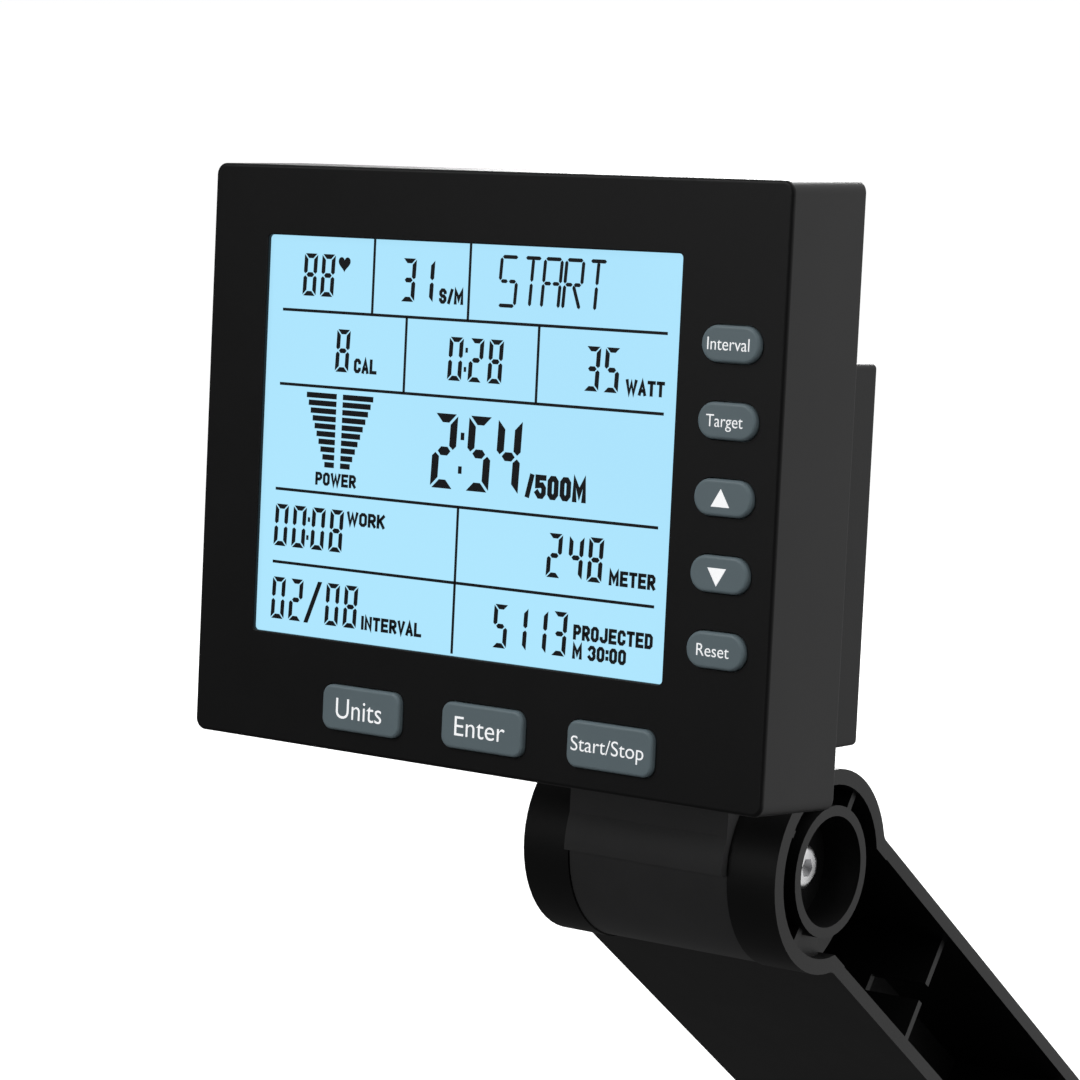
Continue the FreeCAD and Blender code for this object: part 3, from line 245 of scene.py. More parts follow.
# %% [markdown]
# ## Display
#
# A liquid crystal display with a backlight is a dim lamp behind glass. The glow comes from the
# shader's emission, and its even colour is what makes it read as lit. A real backlight isn't quite
# even, so a very slow noise moves its colour a little across the panel.


# %% Display glass
DISPLAY_GLOW = 0.95


def backlit(name, dark, light):
    """Lit display: emission whose colour runs slowly across, under a smooth skin."""
    finish, shader = new_finish(name, (0.05, 0.09, 0.11), 0.22, 0.25)
    tree = finish.node_tree
    slow = noise_on(tree, 9.0, 1.0)
    two_tones(tree, slow, dark, light, shader.inputs["Emission Color"])
    shader.inputs["Emission Strength"].default_value = DISPLAY_GLOW
    spread(tree, slow, 0.2, 0.26, shader.inputs["Roughness"])
    return finish


DISPLAY = backlit("display", (0.415, 0.775, 0.985), (0.43, 0.80, 1.0))


def soft_ink(name, colour, roughness, grain, glow=0.0):
    """Ink or crystal: nearly one tone, with a fine noise in its gloss. A glow above zero is a
    painted glow: the ink emits light in its own colour.
    """
    finish, shader = new_finish(name, colour, roughness, 0.2)
    tree = finish.node_tree
    fine = noise_on(tree, grain, 2.0)
    tone = np.array(colour)
    light = np.minimum(tone * 1.05, 1)
    two_tones(tree, fine, tone * 0.93, light, shader.inputs["Base Color"])
    spread(tree, fine, roughness - 0.05, roughness + 0.05, shader.inputs["Roughness"])
    shader.inputs["Emission Color"].default_value = (*colour, 1)
    shader.inputs["Emission Strength"].default_value = glow
    return finish


CRYSTAL = soft_ink("dark_crystal", (0.013, 0.015, 0.018), 0.4, 700)
# The white ink gets a glow of 0.6, a painted glow that keeps the legends near white where little
# light falls on the face.
WHITE_INK_PAINTED_GLOW = soft_ink("white_ink_painted_glow", (0.93, 0.94, 0.95), 0.5, 1200, 0.6)

# %% [markdown]
# ## Hidden parts
#
# The board, cells, foam and rubber are only seen when the console is taken apart, but each still
# gets its own finish, so that an exploded view looks right.


# %% Finishes for the parts inside
TRACK_SCALE, TRACK_WIDTH, TRACK_HEIGHT = 90, 0.03, 0.00002
SLEEVE_BANDS = 7
PORE_HEIGHT = 0.00015
DOT_SCALE, DOT_HEIGHT = 1400, 0.00002


def board_laminate(name):
    """Green solder mask with paler tracks under it: a brick pattern on Object coordinates."""
    finish, shader = new_finish(name, (0.02, 0.14, 0.06), 0.35)
    tree = finish.node_tree
    place = tree.nodes.new("ShaderNodeTexCoord")
    turn = tree.nodes.new("ShaderNodeMapping")
    turn.inputs["Rotation"].default_value = (math.pi / 2, 0, 0)
    tracks = tree.nodes.new("ShaderNodeTexBrick")
    tracks.inputs["Color1"].default_value = (0.012, 0.11, 0.045, 1)
    tracks.inputs["Color2"].default_value = (0.015, 0.13, 0.055, 1)
    tracks.inputs["Mortar"].default_value = (0.05, 0.24, 0.1, 1)
    tracks.inputs["Scale"].default_value = TRACK_SCALE
    tracks.inputs["Mortar Size"].default_value = TRACK_WIDTH
    tree.links.new(place.outputs["Object"], turn.inputs["Vector"])
    tree.links.new(turn.outputs["Vector"], tracks.inputs["Vector"])
    tree.links.new(tracks.outputs["Color"], shader.inputs["Base Color"])
    raised(tree, tracks.outputs["Fac"], TRACK_HEIGHT, shader)
    return finish


def cell_wrap(name):
    """Printed sleeve of a cell: plain bands across its length, as a wave pattern along X."""
    finish, shader = new_finish(name, (0.05, 0.06, 0.07), 0.3)
    tree = finish.node_tree
    place = tree.nodes.new("ShaderNodeTexCoord")
    bands = tree.nodes.new("ShaderNodeTexWave")
    bands.bands_direction = "X"
    bands.inputs["Scale"].default_value = SLEEVE_BANDS
    tree.links.new(place.outputs["Object"], bands.inputs["Vector"])
    dark, light = (0.02, 0.025, 0.03), (0.35, 0.37, 0.4)
    two_tones(tree, bands.outputs["Fac"], dark, light, shader.inputs["Base Color"])
    shader.inputs["Metallic"].default_value = 0.6
    return finish


def soft_rubber(name, colour, grain):
    """Foam or rubber: matt, with open cells as deep noise."""
    finish, shader = new_finish(name, colour, 0.85, 0.2)
    tree = finish.node_tree
    cells = noise_on(tree, grain, 5.0)
    tone = np.array(colour)
    two_tones(tree, cells, tone * 0.7, tone * 1.2, shader.inputs["Base Color"])
    raised(tree, cells, PORE_HEIGHT, shader)
    return finish


def clear_guide(name):
    """Milky light guide: some light passes in, and fine noise stands in for its printed dots."""
    finish, shader = new_finish(name, (0.85, 0.88, 0.92), 0.25)
    tree = finish.node_tree
    dots = noise_on(tree, DOT_SCALE, 1.0)
    raised(tree, dots, DOT_HEIGHT, shader)
    spread(tree, dots, 0.18, 0.35, shader.inputs["Roughness"])
    shader.inputs["Transmission Weight"].default_value = 0.3
    return finish


BOARD = board_laminate("board_laminate")
CELL = cell_wrap("cell_wrap")
FOAM = soft_rubber("gasket_foam", (0.02, 0.02, 0.021), 1500)
STRIP = soft_rubber("connector_rubber", (0.5, 0.2, 0.22), 2200)
GUIDE = clear_guide("light_guide")
RESIN = soft_ink("led_resin", (0.9, 0.86, 0.5), 0.3, 900)

# %% [markdown]
# Each part takes its finish by name. A part's mesh may hold several material slots, so all of them
# are set.

# %% Give each part its finish
FINISHES = {
    "front_case": CASE, "rear_case": REAR, "battery_door": REAR,
    "lcd_panel": DISPLAY, "lcd_gasket": FOAM, "backlight_panel": GUIDE, "backlight_leds": RESIN,
    "connector_strips": STRIP, "circuit_board": BOARD, "board_screws": ZINC, "case_screws": ZINC,
    "tact_switches": CHIP, "controller_chip": CHIP, "buzzer": CHIP, "sensor_socket": CHIP,
    "battery_cells": CELL, "battery_plate": BRIGHT, "battery_spring": BRIGHT,
    "tilt_bracket": BRACKET, "bracket_screws": ZINC, "barrel_bushes": BUSH, "spacer_tube": ZINC,
    "monitor_arm": ARM, "arm_bushes": BUSH,
    "tilt_bolt": BRIGHT, "tilt_washer": ZINC, "tilt_nut": ZINC,
    "base_bracket": COATED, "pivot_bolt": ZINC, "pivot_nut": ZINC, "pivot_washers": ZINC,
}
for part, node in frame["nodes"].items():
    finish = KEY if part.startswith("key_") else FINISHES[part]
    node.data.materials.clear()
    node.data.materials.append(finish)
print("parts with a finish:", len(frame["nodes"]))

# %% [markdown]
# ## Thin printed shapes
#
# The figures and rules on the display are flat shapes with crisp edges. A picture on the surface
# would blur up close, so each shape is a very thin solid plate. `plates` takes outlines drawn in
# millimetres on the face and gives each one a front, a back and a rim of side faces.

# %% Flat outlines to thin plates
INK_THICK = 0.05


def plates(name, outlines, depth, body, finish):
    """Prisms: each outline stands at depth and at depth - INK_THICK, and sides join the two.

    An outline whose area, half the sum of x0 y1 - y0 x1 around it, is below zero is turned round.
    """
    points, faces, start = [], [], 0
    for outline in outlines:
        flat = np.asarray(outline, float)
        (x, y), (next_x, next_y) = flat.T, np.roll(flat, -1, 0).T
        if (x * next_y - y * next_x).sum() < 0:
            flat = flat[::-1]
        count = len(flat)
        front = np.column_stack([flat, np.full(count, depth - INK_THICK)])
        back = np.column_stack([flat, np.full(count, depth)])
        points += [front, back]
        ring = start + np.arange(count)
        after = start + (np.arange(count) + 1) % count
        faces.append(ring.tolist())
        faces.append((ring[::-1] + count).tolist())
        faces += np.column_stack([after, ring, ring + count, after + count]).tolist()
        start += 2 * count
    mesh = bpy.data.meshes.new(name)
    mesh.from_pydata(placed(np.vstack(points) * MM).tolist(), [], faces)
    mesh.materials.append(finish)
    piece = bpy.data.objects.new(name, mesh)
    bpy.context.scene.collection.objects.link(piece)
    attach(piece, body)
    print(name, "has", len(outlines), "shapes")


def bar(left, right, low, high):
    """A rectangle from its four sides."""
    return np.array([[left, low], [right, low], [right, high], [left, high]])


# %% [markdown]
# ## Figures
#
# A seven-segment figure is built from seven bars with mitred ends: a across the top, then b and c
# down the right, d across the bottom, e and f up the left and g across the middle. Each bar is cut
# back a little where it meets the next, and the whole figure leans by a small slant.

# %% Seven-segment figures
LIT = {
    "0": "abcdef", "1": "bc", "2": "abged", "3": "abgcd", "4": "fgbc", "5": "afgcd", "8": "abcdefg",
}
SEGMENT_GAP = 0.22  # between bars, as a share of a bar's width
FIGURE_SLANT = 0.035  # sideways for each unit up


def segments(width, height, stroke, gap):
    """The seven bars of a figure: three are drawn, and x -> w - x and y -> h - y give the rest."""
    w, h, t, g = width, height, stroke, gap
    m = h / 2
    top = np.array([[g, h], [w - g, h], [w - t - g, h - t], [t + g, h - t]])
    upper_left = np.array([
        [0, h - g], [t, h - t - g], [t, m + t / 2 + g * 0.6], [t * 0.45, m + g * 0.9],
        [0, m + t * 0.6],
    ])
    middle = np.array([
        [t * 0.55 + g, m], [t + g, m + t / 2], [w - t - g, m + t / 2],
        [w - t * 0.55 - g, m], [w - t - g, m - t / 2], [t + g, m - t / 2],
    ])

    def flip_x(shape):
        return shape * [-1, 1] + [w, 0]

    def flip_y(shape):
        return shape * [1, -1] + [0, h]

    return {
        "a": top, "d": flip_y(top), "g": middle, "f": upper_left, "b": flip_x(upper_left),
        "e": flip_y(upper_left), "c": flip_x(flip_y(upper_left)),
    }


def figure(sign, left, low, width, height, stroke):
    """Lit bars of one figure, leaned by x -> x + slant y."""
    bars = segments(width, height, stroke, stroke * SEGMENT_GAP)
    shapes = [bars[name] for name in LIT[sign]]
    return [
        shape + np.outer(shape[:, 1] * FIGURE_SLANT, [1, 0]) + [left, low] for shape in shapes
    ]


def dot(x, y, width, height):
    """One dot of a colon, about its middle."""
    return bar(x - width / 2, x + width / 2, y - height / 2, y + height / 2)


# %% [markdown]
# The readings are written as rows: what is shown, where it starts, and how far each figure is from
# the one before. The figures of a row share one size.

# %% Readings on the display
DRAWN_FROM = np.array([-5.05, 5.2])  # the point of the drawing that lands on the display's middle
LCD_MM = LCD_DEPTH / MM
lcd_middle = ((lcd_low + lcd_high) / 2 - middle_flat)[:2] / MM


def show(name, shapes):
    """Dark shapes on the display, moved from the drawing's own zero to their place on the face."""
    moved = [np.asarray(shape) + lcd_middle - DRAWN_FROM for shape in shapes]
    plates(name, moved, LCD_MM, "monitor", CRYSTAL)


SMALL = dict(width=4.7, height=11.6, stroke=1.3)
LARGE = dict(width=7.9, height=20.0, stroke=2.35)
readings = []
for signs, low, starts, size in [
    ("88", 43.8, (-62.6, -56.3), SMALL),
    ("31", 43.8, (-28.0, -21.7), SMALL),
    ("8", 23.6, (-49.9,), SMALL),
    ("028", 23.6, (-10.9, -4.0, 2.5), SMALL),
    ("35", 23.6, (34.0, 40.2), SMALL),
    ("254", -5.3, (-15.1, -3.4, 6.4), LARGE),
    ("0008", -25.7, (-69.4, -62.9, -56.1, -49.6), SMALL),
    ("248", -25.7, (24.7, 31.6, 37.9), SMALL),
    ("0208", -46.0, (-69.4, -63.0, -49.9, -43.4), SMALL),
    ("5113", -46.0, (8.1, 14.6, 21.1, 27.5), SMALL),
]:
    for sign, start in zip(signs, starts):
        readings += figure(sign, start, low, **size)
SMALL_DOT, LARGE_DOT = (0.8, 1.3), (1.2, 2.0)
for x, y, size in [
    (-4.7, 31.9, SMALL_DOT), (-5.0, 26.8, SMALL_DOT),
    (-4.8, 9.0, LARGE_DOT), (-5.2, 0.0, LARGE_DOT),
    (-56.9, -17.6, SMALL_DOT), (-57.2, -22.6, SMALL_DOT),
]:
    readings.append(dot(x, y, *size))
slash = np.array([[-57.4, -46.1], [-55.9, -46.1], [-51.2, -34.4], [-52.7, -34.4]])
readings.append(slash)
show("display_figures", readings)

# %% [markdown]
# ## Fourteen-segment word
#
# The message in the top right corner uses thinner bars, so that it can spell words: a figure with
# a split middle bar, two bars down the centre and a slanted leg.


# %% Start message
THIN_STROKE = 1.0
THIN_GAP = 0.18
THIN_SLANT = 0.06
MESSAGE_LOW, MESSAGE_WIDTH, MESSAGE_HEIGHT = 44.3, 5.4, 12.8
MESSAGE_STARTS = (5.0, 12.6, 19.2, 26.1, 33.6)


def stroke_between(start, end, width):
    """A pointed bar: its two ends, and corners half a width in from them along and across it."""
    along = (end - start) / np.linalg.norm(end - start)
    across = np.array([-along[1], along[0]]) * width / 2
    tip = along * width / 2
    return np.array([
        start, start + tip + across, end - tip + across,
        end, end - tip - across, start + tip - across,
    ])


def thin_letter(bars, left):
    """Bars of one letter on a grid three points wide and three high, leaned by x -> x + slant y."""
    shapes = []
    for bar_ends in bars:
        start, end = np.array(bar_ends, float) * [MESSAGE_WIDTH / 2, MESSAGE_HEIGHT / 2]
        start[0] += start[1] * THIN_SLANT
        end[0] += end[1] * THIN_SLANT
        gap = (end - start) / np.linalg.norm(end - start) * THIN_GAP
        shapes.append(stroke_between(start + gap, end - gap, THIN_STROKE) + [left, MESSAGE_LOW])
    return shapes


TOP, BOTTOM = ((0, 2), (2, 2)), ((0, 0), (2, 0))
LOW_LEFT, HIGH_LEFT = ((0, 0), (0, 1)), ((0, 1), (0, 2))
LOW_RIGHT, HIGH_RIGHT = ((2, 0), (2, 1)), ((2, 1), (2, 2))
MIDDLES = [((0, 1), (1, 1)), ((1, 1), (2, 1))]
LETTERS = {
    "S": [TOP, HIGH_LEFT, *MIDDLES, LOW_RIGHT, BOTTOM],
    "T": [TOP, ((1, 1), (1, 2)), ((1, 0), (1, 1))],
    "A": [TOP, LOW_LEFT, HIGH_LEFT, HIGH_RIGHT, *MIDDLES, LOW_RIGHT],
    "R": [TOP, LOW_LEFT, HIGH_LEFT, HIGH_RIGHT, *MIDDLES, ((1, 1), (2, 0))],
}
message = []
for letter, left in zip("START", MESSAGE_STARTS):
    message += thin_letter(LETTERS[letter], left)
show("display_message", message)

# %% [markdown]
# ## Rules, power bars and heart
#
# Thin rules divide the display. The power gauge is two stacks of bars that grow towards the top,
# so each bar's length is worked out from its number. The heart is one closed curve.

# %% Rules, gauge and heart
RULE = 0.8
LEVELS = (39.7, 19.2, -9.9, -30.2)
UPRIGHTS = [
    (-37.6, 39.7, 60.1), (-4.8, 39.7, 60.1),
    (-25.5, 19.2, 39.7), (18.9, 19.2, 39.7),
    (-5.2, -49.2, -9.9),
]
rules = [bar(-69.4, 59.6, v - RULE / 2, v + RULE / 2) for v in LEVELS]
rules += [bar(u - RULE / 2, u + RULE / 2, low, high) for u, low, high in UPRIGHTS]
show("display_rules", rules)

GAUGE_BARS, GAUGE_BAR = 10, 1.5
GAUGE_TOP, GAUGE_STEP = 17.5, 2.09
GAUGE_REACH, GAUGE_TAPER = 10.7, 0.81
GAUGE_LEFT, GAUGE_RIGHT = -48.8, -46.6
gauge = []
for step in range(GAUGE_BARS):
    top = GAUGE_TOP - GAUGE_STEP * step
    reach = GAUGE_REACH - GAUGE_TAPER * step
    gauge.append(bar(GAUGE_LEFT - reach, GAUGE_LEFT, top - GAUGE_BAR, top))
    gauge.append(bar(GAUGE_RIGHT, GAUGE_RIGHT + reach, top - GAUGE_BAR, top))
show("display_gauge", gauge)

HEART_POINTS = 48
HEART_SIZE = np.array([2.1, 2.3])
HEART_MIDDLE = (-48.0, 53.1)


def heart_curve(turn):
    """x = 16 sin^3 t, y = 13 cos t - 5 cos 2t - 2 cos 3t - cos 4t, which is 16 each way in x."""
    return np.column_stack([
        16 * np.sin(turn) ** 3,
        13 * np.cos(turn) - 5 * np.cos(2 * turn) - 2 * np.cos(3 * turn) - np.cos(4 * turn),
    ])


turns = np.linspace(0, 2 * np.pi, HEART_POINTS, endpoint=False)
heart = heart_curve(turns) * (HEART_SIZE / 16) + HEART_MIDDLE
show("display_heart", [heart])

# %% [markdown]
# ## Words on the display
#
# The small words are bold and narrow. A typeface squeezed to that width loses its weight, so each
# letter is drawn as one to three strokes of even width. A stroke is a path, and its band is the path
# set off to both sides. Where the path turns, the set-off point moves out along the bisector, so
# that both arms keep their width. Round letters have their corners cut, as on real displays of
# this kind.

# %% Bands along a path
CUT_X, CUT_Y = 0.3, 0.16  # how much of a letter's box a cut corner takes
SHARPEST = 0.42  # lowest cosine of half a turn, so that a sharp corner doesn't grow a spike


def band(path, width, closed=False):
    """Quads of a stroke: a point is set off by half the width over the cosine of half its turn.

    An open path is first made half the width longer at each end, which gives square ends.
    """
    path = np.array(path, float)
    if not closed:
        first, final = path[1] - path[0], path[-1] - path[-2]
        path[0] -= first / np.linalg.norm(first) * width / 2
        path[-1] += final / np.linalg.norm(final) * width / 2
    before = np.roll(path, 1, 0)
    after = np.roll(path, -1, 0)
    if not closed:
        before[0] = 2 * path[0] - path[1]
        after[-1] = 2 * path[-1] - path[-2]
    into = (path - before) / np.linalg.norm(path - before, axis=1)[:, None]
    out = (after - path) / np.linalg.norm(after - path, axis=1)[:, None]
    bisector = into + out
    bisector /= np.linalg.norm(bisector, axis=1)[:, None]
    offset = np.column_stack([-bisector[:, 1], bisector[:, 0]])
    lean = np.clip((bisector * into).sum(1), SHARPEST, 1)
    offset *= (width / 2 / lean)[:, None]
    left, right = path + offset, path - offset
    last = len(path) if closed else len(path) - 1
    here = np.arange(last)
    there = (here + 1) % len(path)
    return list(np.stack([right[here], right[there], left[there], left[here]], axis=1))


# %% [markdown]
# A letter's path is written in a box one wide and one high, and the box is then stretched. `True`
# marks a path that closes on itself.

# %% Letter paths
ROUND = [
    (CUT_X, 0), (1 - CUT_X, 0), (1, CUT_Y), (1, 1 - CUT_Y),
    (1 - CUT_X, 1), (CUT_X, 1), (0, 1 - CUT_Y), (0, CUT_Y),
]
WAIST = 0.44
BOWL = [
    (0, 0), (0, 1), (1 - CUT_X, 1), (1, 1 - CUT_Y), (1, WAIST + CUT_Y), (1 - CUT_X, WAIST),
    (0, WAIST),
]
GLYPHS = {
    "A": [([(0, 0), (0.5, 1), (1, 0)], False), ([(0.18, 0.26), (0.82, 0.26)], False)],
    "C": [([(1, 0.8), (1, 1 - CUT_Y), *ROUND[4:], *ROUND[:3], (1, 0.2)], False)],
    "D": [([(0, 0), *ROUND[1:5], (0, 1)], True)],
    "E": [([(1, 1), (0, 1), (0, 0), (1, 0)], False), ([(0, 0.5), (0.85, 0.5)], False)],
    "I": [([(0.5, 0), (0.5, 1)], False)],
    "J": [([(1, 1), *ROUND[2::-1], (0, CUT_Y), (0, 0.22)], False)],
    "K": [
        ([(0, 0), (0, 1)], False), ([(1, 1), (0.05, 0.42)], False), ([(0.38, 0.6), (1, 0)], False),
    ],
    "L": [([(0, 1), (0, 0), (1, 0)], False)],
    "M": [([(0, 0), (0, 1), (0.5, 0.3), (1, 1), (1, 0)], False)],
    "N": [([(0, 0), (0, 1), (1, 0), (1, 1)], False)],
    "O": [(ROUND, True)],
    "P": [(BOWL, False)],
    "R": [(BOWL, False), ([(0.45, WAIST), (1, 0)], False)],
    "S": [([
        (1, 0.83), *ROUND[3:7], (0, 0.5 + CUT_Y), (CUT_X, 0.5),
        (1 - CUT_X, 0.5), (1, 0.5 - CUT_Y), *ROUND[2::-1], (0, CUT_Y), (0, 0.17),
    ], False)],
    "T": [([(0, 1), (1, 1)], False), ([(0.5, 0), (0.5, 1)], False)],
    "V": [([(0, 1), (0.5, 0), (1, 1)], False)],
    "W": [([(0, 1), (0.25, 0), (0.5, 0.85), (0.75, 0), (1, 1)], False)],
    "/": [([(0, 0), (1, 1)], False)],
    ":": [([(0.5, 0.2), (0.5, 0.24)], False), ([(0.5, 0.76), (0.5, 0.8)], False)],
    "0": [(ROUND, True)],
    "3": [([
        *ROUND[6:2:-1], (1, 0.52 + CUT_Y), (0.8, 0.52), (1, 0.52 - CUT_Y), *ROUND[2::-1],
        (0, CUT_Y),
    ], False)],
    "5": [([
        (1, 1), (0, 1), (0, 0.56), (1 - CUT_X, 0.6), (1, 0.6 - CUT_Y), *ROUND[2::-1],
        (0, CUT_Y),
    ], False)],
    " ": [],
}
WIDTHS = {"M": 1.25, "W": 1.45, "I": 0.35, "/": 0.75, ":": 0.35, " ": 0.5}
LETTER_GAP = 0.13  # between letters, as a share of a plain letter's width
WORD_WEIGHT = 0.235  # a stroke's width, as a share of the word's height


def lettered(text, box, weight):
    """Strokes of a word in box = (left, right, low, high): letters and gaps share its width."""
    left, right, low, high = box
    widths = np.array([WIDTHS.get(letter, 1.0) for letter in text])
    unit = (right - left) / (widths.sum() + LETTER_GAP * (len(text) - 1))
    stroke = weight * (high - low)
    starts = left + unit * (np.cumsum(widths + LETTER_GAP) - widths - LETTER_GAP)
    shapes = []
    for letter, start, width in zip(text, starts, widths * unit):
        inside = np.array([max(width - stroke, 0.0), high - low - stroke])
        for path, closed in GLYPHS[letter]:
            points = np.array(path) * inside + [start + stroke / 2, low + stroke / 2]
            shapes += band(points, stroke, closed)
    return shapes


DISPLAY_WORDS = {
    "word_strokes": ("S/M", (-14.8, -6.6, 43.8, 47.9)),
    "word_calories": ("CAL", (-43.2, -35.2, 23.6, 27.6)),
    "word_watt": ("WATT", (47.3, 59.5, 23.4, 27.4)),
    "word_power": ("POWER", (-55.2, -40.8, -7.8, -4.2)),
    "word_split": ("/500M", (16.8, 36.5, -5.5, 0.8)),
    "word_work": ("WORK", (-43.4, -30.1, -18.0, -14.2)),
    "word_meter": ("METER", (45.0, 59.6, -26.0, -22.0)),
    "word_interval": ("INTERVAL", (-36.8, -15.8, -46.0, -42.2)),
    "word_projected": ("PROJECTED", (34.5, 59.7, -41.2, -37.2)),
    "word_target_time": ("M 30:00", (34.5, 51.6, -46.2, -42.2)),
}
for name, (text, box) in DISPLAY_WORDS.items():
    show(name, lettered(text, box, WORD_WEIGHT))

# %% [markdown]
# ## Key legends
#
# The legends are printed in white on the keys, and the ink has a faint painted glow that keeps them
# near white where little light falls on the face. Blender's own typeface is right for them, a little
# thinned. A word is typed as a text object, turned into a mesh, and its points are stretched to
# fill a box given in millimetres on the face. The text object is only a tool, so it is thrown
# away. A legend rides on its key's own body, so it goes down with the key when it is pressed. Its
# depth is the key's front, read from the key itself.


# %% Typed words
LETTER_THINNED = -0.006  # the outline moves in by this share of the type's size
LETTER_EXTRUDED = 0.02
LETTER_CURVE_STEPS = 6


def typed(name, text, box, depth, body, finish):
    """Letters as thin solids in box = (left, right, low, high), each axis scaled by itself."""
    curve = bpy.data.curves.new(name + "_curve", "FONT")
    curve.body = text
    curve.offset = LETTER_THINNED
    curve.extrude = LETTER_EXTRUDED
    curve.resolution_u = LETTER_CURVE_STEPS
    helper = bpy.data.objects.new(name + "_helper", curve)
    bpy.context.scene.collection.objects.link(helper)
    bpy.context.view_layer.update()
    settled = helper.evaluated_get(bpy.context.evaluated_depsgraph_get())
    mesh = bpy.data.meshes.new_from_object(settled)
    bpy.data.objects.remove(helper)
    flat = np.empty(len(mesh.vertices) * 3, np.float32)
    mesh.vertices.foreach_get("co", flat)
    flat = flat.reshape(-1, 3).astype(float)
    low, high = flat.min(0), flat.max(0)
    share = (flat - low) / (high - low)
    left, right, bottom, top = box
    spot = np.column_stack([
        left + share[:, 0] * (right - left),
        bottom + share[:, 1] * (top - bottom),
        depth - share[:, 2] * INK_THICK,
    ])
    mesh.vertices.foreach_set("co", placed(spot * MM).astype(np.float32).ravel())
    mesh.name = name
    mesh.materials.clear()
    mesh.materials.append(finish)
    mesh.update()
    piece = bpy.data.objects.new(name, mesh)
    bpy.context.scene.collection.objects.link(piece)
    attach(piece, body)


# %% Legends
def key_front(key):
    """Middle of a key across the face and its front's depth, in mm from the face's middle."""
    low, high = flat_box(key)
    middle = ((low + high) / 2 - middle_flat) / MM
    return middle[0], middle[1], (low[2] - middle_flat[2]) / MM


LEGEND_SHIFT = -0.5
ARROW = np.array([[-2.8, -2.3], [2.8, -2.3], [0, 2.3]])
LEGENDS = {
    "key_interval": ("Interval", 12.6, 3.2, 0.0), "key_target": ("Target", 11.0, 4.1, -0.5),
    "key_reset": ("Reset", 9.8, 3.1, 0.0), "key_units": ("Units", 16.0, 5.5, 0.0),
    "key_enter": ("Enter", 16.7, 5.2, 0.0), "key_start_stop": ("Start/Stop", 23.0, 5.1, -0.4),
}
for key, (text, width, height, drop) in LEGENDS.items():
    x, y, depth = key_front(key)
    x += LEGEND_SHIFT
    spot = (x - width / 2, x + width / 2, y + drop - height / 2, y + drop + height / 2)
    typed("legend_" + key[4:], text, spot, depth, key + "_body", WHITE_INK_PAINTED_GLOW)
for key, point, drop in (("key_up", 1, 0.0), ("key_down", -1, 0.7)):
    x, y, depth = key_front(key)
    arrow = ARROW * [1, point] + [x + LEGEND_SHIFT, y - drop]
    plates("legend_" + key[4:], [arrow], depth, key + "_body", WHITE_INK_PAINTED_GLOW)
print("legends:", len(LEGENDS) + 2)

# %% [markdown]
# ## Studio
#
# The floor runs back and curves up into a wall, so no line shows where they meet. Its profile is
# flat, then a quarter circle y = r sin t, z = r (1 - cos t), then straight up, and it is carried
# sideways along X. All sizes here are in metres.

# %% Floor and backdrop
SWEEP_RADIUS = 1.2
SWEEP_POINTS = 33
SWEEP_START = 2.2
FLOOR_NEAR, FLOOR_HALF = -5.0, 6.0
WALL_TOP = 6.0
PAPER_GLOW = 0.93
arc = np.linspace(0, np.pi / 2, SWEEP_POINTS)
curve_y = SWEEP_START + SWEEP_RADIUS * np.sin(arc)
curve_z = SWEEP_RADIUS * (1 - np.cos(arc))
profile_y = np.concatenate([[FLOOR_NEAR], curve_y, [SWEEP_START + SWEEP_RADIUS]])
profile_z = np.concatenate([[0.0], curve_z, [WALL_TOP]])
across = np.array([-FLOOR_HALF, FLOOR_HALF])
grid = np.stack([
    np.repeat(across, len(profile_y)), np.tile(profile_y, 2), np.tile(profile_z, 2),
], axis=1)
index = np.arange(len(profile_y) - 1)
quads = np.column_stack([index, index + len(profile_y), index + len(profile_y) + 1, index + 1])
floor_mesh = bpy.data.meshes.new("studio_floor")
floor_mesh.from_pydata(grid.tolist(), [], quads.tolist())
floor_mesh.shade_smooth()
floor = bpy.data.objects.new("studio_floor", floor_mesh)
bpy.context.scene.collection.objects.link(floor)
paper, paper_shader = new_finish("studio_paper", (0.35, 0.35, 0.35), 0.9, 0.0)
paper_shader.inputs["Emission Color"].default_value = (1, 1, 1, 1)
paper_shader.inputs["Emission Strength"].default_value = PAPER_GLOW
floor_mesh.materials.append(paper)
floor.visible_diffuse = False
floor.visible_glossy = False

# %% [markdown]
# ## Light
#
# Black plastic shows what it mirrors more than its own colour. So the air of the studio is not
# even: it is brightest to the right and behind, which is what the case's side mirrors, dim in
# front, which is what the face mirrors, and dimmest below. The brightness follows the direction's
# dot product with the brightest direction. Softboxes above light the keys and draw the bright edges,
# and a low one reaches the bracket and the hub, which the case shades from above. The last one
# lights the console's back.

# %% Air of the studio
BRIGHTEST = Vector((0.62, 0.74, 0.45)).normalized()
AIR_RANGE = {"From Min": -0.1, "From Max": 1.0, "To Min": 0.1, "To Max": 0.98}
BACKGROUND_SEEN = 1.0
world = bpy.data.worlds.new("studio_air")
bpy.context.scene.world = world
world.use_nodes = True
air = world.node_tree
place = air.nodes.new("ShaderNodeTexCoord")
towards = air.nodes.new("ShaderNodeVectorMath")
towards.operation = "DOT_PRODUCT"
towards.inputs[1].default_value = BRIGHTEST
level = air.nodes.new("ShaderNodeMapRange")
level.interpolation_type = "SMOOTHSTEP"
for name, value in AIR_RANGE.items():
    level.inputs[name].default_value = value
ray = air.nodes.new("ShaderNodeLightPath")
seen = air.nodes.new("ShaderNodeMix")
seen.inputs["B"].default_value = BACKGROUND_SEEN
air.links.new(place.outputs["Generated"], towards.inputs[0])
air.links.new(towards.outputs["Value"], level.inputs["Value"])
air.links.new(level.outputs["Result"], seen.inputs["A"])
air.links.new(ray.outputs["Is Camera Ray"], seen.inputs["Factor"])
air.links.new(seen.outputs["Result"], air.nodes["Background"].inputs["Strength"])
air.nodes["Background"].inputs["Color"].default_value = (1, 1, 1, 1)


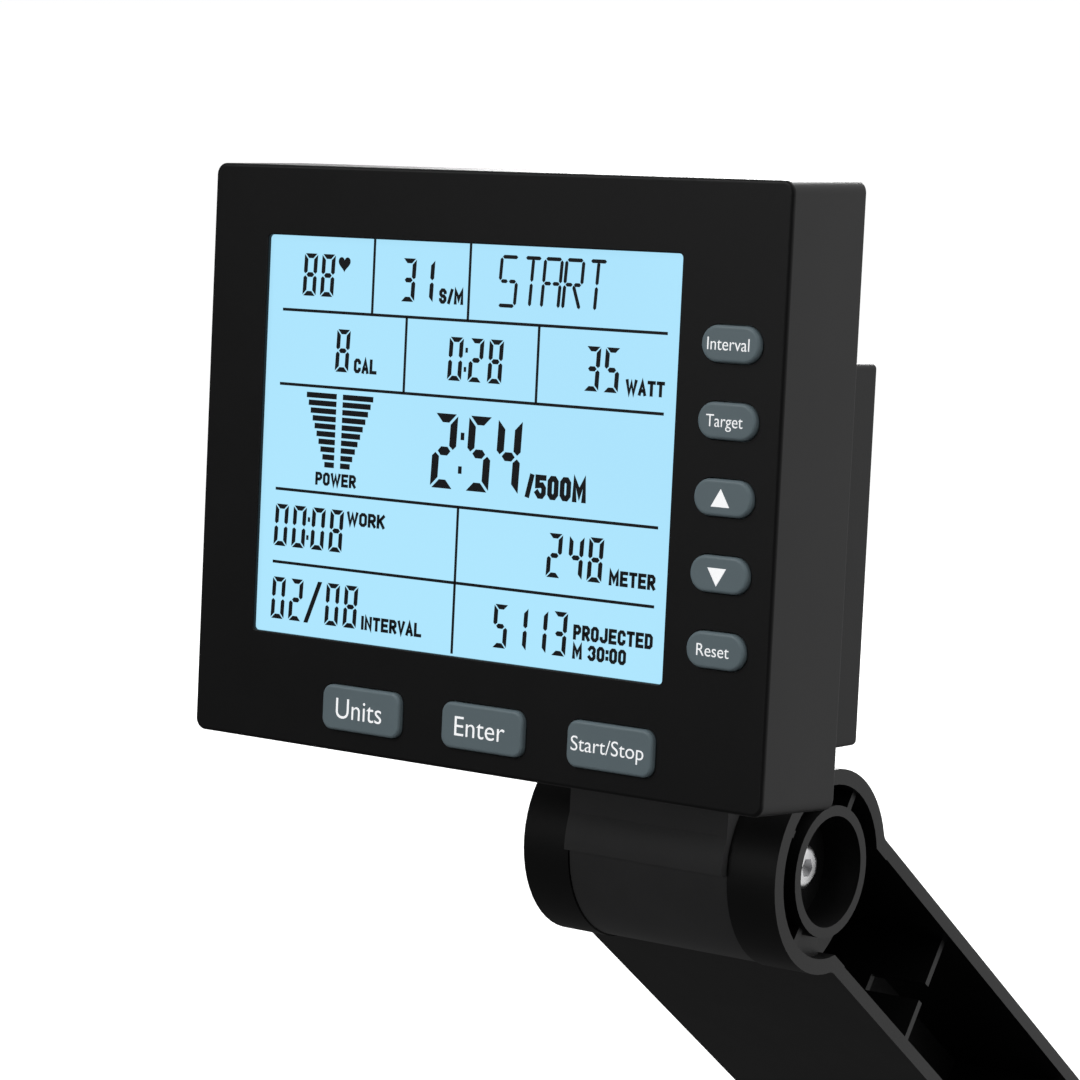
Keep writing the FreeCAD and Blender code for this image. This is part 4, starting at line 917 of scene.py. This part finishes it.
# %% Softboxes
def softbox(name, spot, aim, width, height, power):
    """An area light that faces a point: its own -Z axis is turned along the line to that point."""
    light = bpy.data.lights.new(name, "AREA")
    light.shape = "RECTANGLE"
    light.size, light.size_y, light.energy = width, height, power
    lamp = bpy.data.objects.new(name, light)
    bpy.context.scene.collection.objects.link(lamp)
    lamp.location = spot
    lamp.rotation_euler = (Vector(aim) - Vector(spot)).to_track_quat("-Z", "Y").to_euler()


softbox("front_softbox", (-0.9, -2.0, 2.1), FACE_MIDDLE, 1.0, 1.0, 18)
softbox("top_softbox", (0.5, 0.6, 2.2), FACE_MIDDLE, 1.0, 1.0, 11)
tilt = next(joint for joint in frame["joints"] if joint["name"] == "monitor_tilt")
softbox("low_softbox", (-0.6, -2.2, 0.85), tilt["pos_m"], 0.9, 0.6, 3.6)
softbox("back_softbox", (-0.9, 1.6, 1.3), tilt["pos_m"], 1.0, 1.0, 45)

# %% [markdown]
# ## Camera
#
# The camera stands to the right of the screen and a little above it, with a long lens, so the case
# keeps its shape. Its place is worked out from the face's middle, so it follows the object.

# %% Camera
AZIMUTH = math.radians(36.71)
ELEVATION = math.radians(8.44)
DISTANCE = 0.9177
AIM_RIGHT = 0.0174
AIM_UP = -0.0177
FOCAL_MM, SENSOR_MM = 115.6, 36
FARTHEST = 50
right = np.array([math.cos(AZIMUTH), math.sin(AZIMUTH), 0])
ahead = np.array([
    -math.sin(AZIMUTH) * math.cos(ELEVATION),
    math.cos(AZIMUTH) * math.cos(ELEVATION),
    -math.sin(ELEVATION),
])
above = np.cross(right, ahead)
spot = FACE_MIDDLE + AIM_RIGHT * right + AIM_UP * above - DISTANCE * ahead
lens = bpy.data.cameras.new("camera")
lens.lens = FOCAL_MM
lens.sensor_width = SENSOR_MM
lens.clip_end = FARTHEST
camera = bpy.data.objects.new("camera", lens)
bpy.context.scene.collection.objects.link(camera)
turned = Matrix(np.column_stack([right, above, -ahead]).tolist()).to_4x4()
turned.translation = spot
camera.matrix_world = turned
bpy.context.scene.camera = camera
bpy.context.scene.view_settings.view_transform = "Standard"
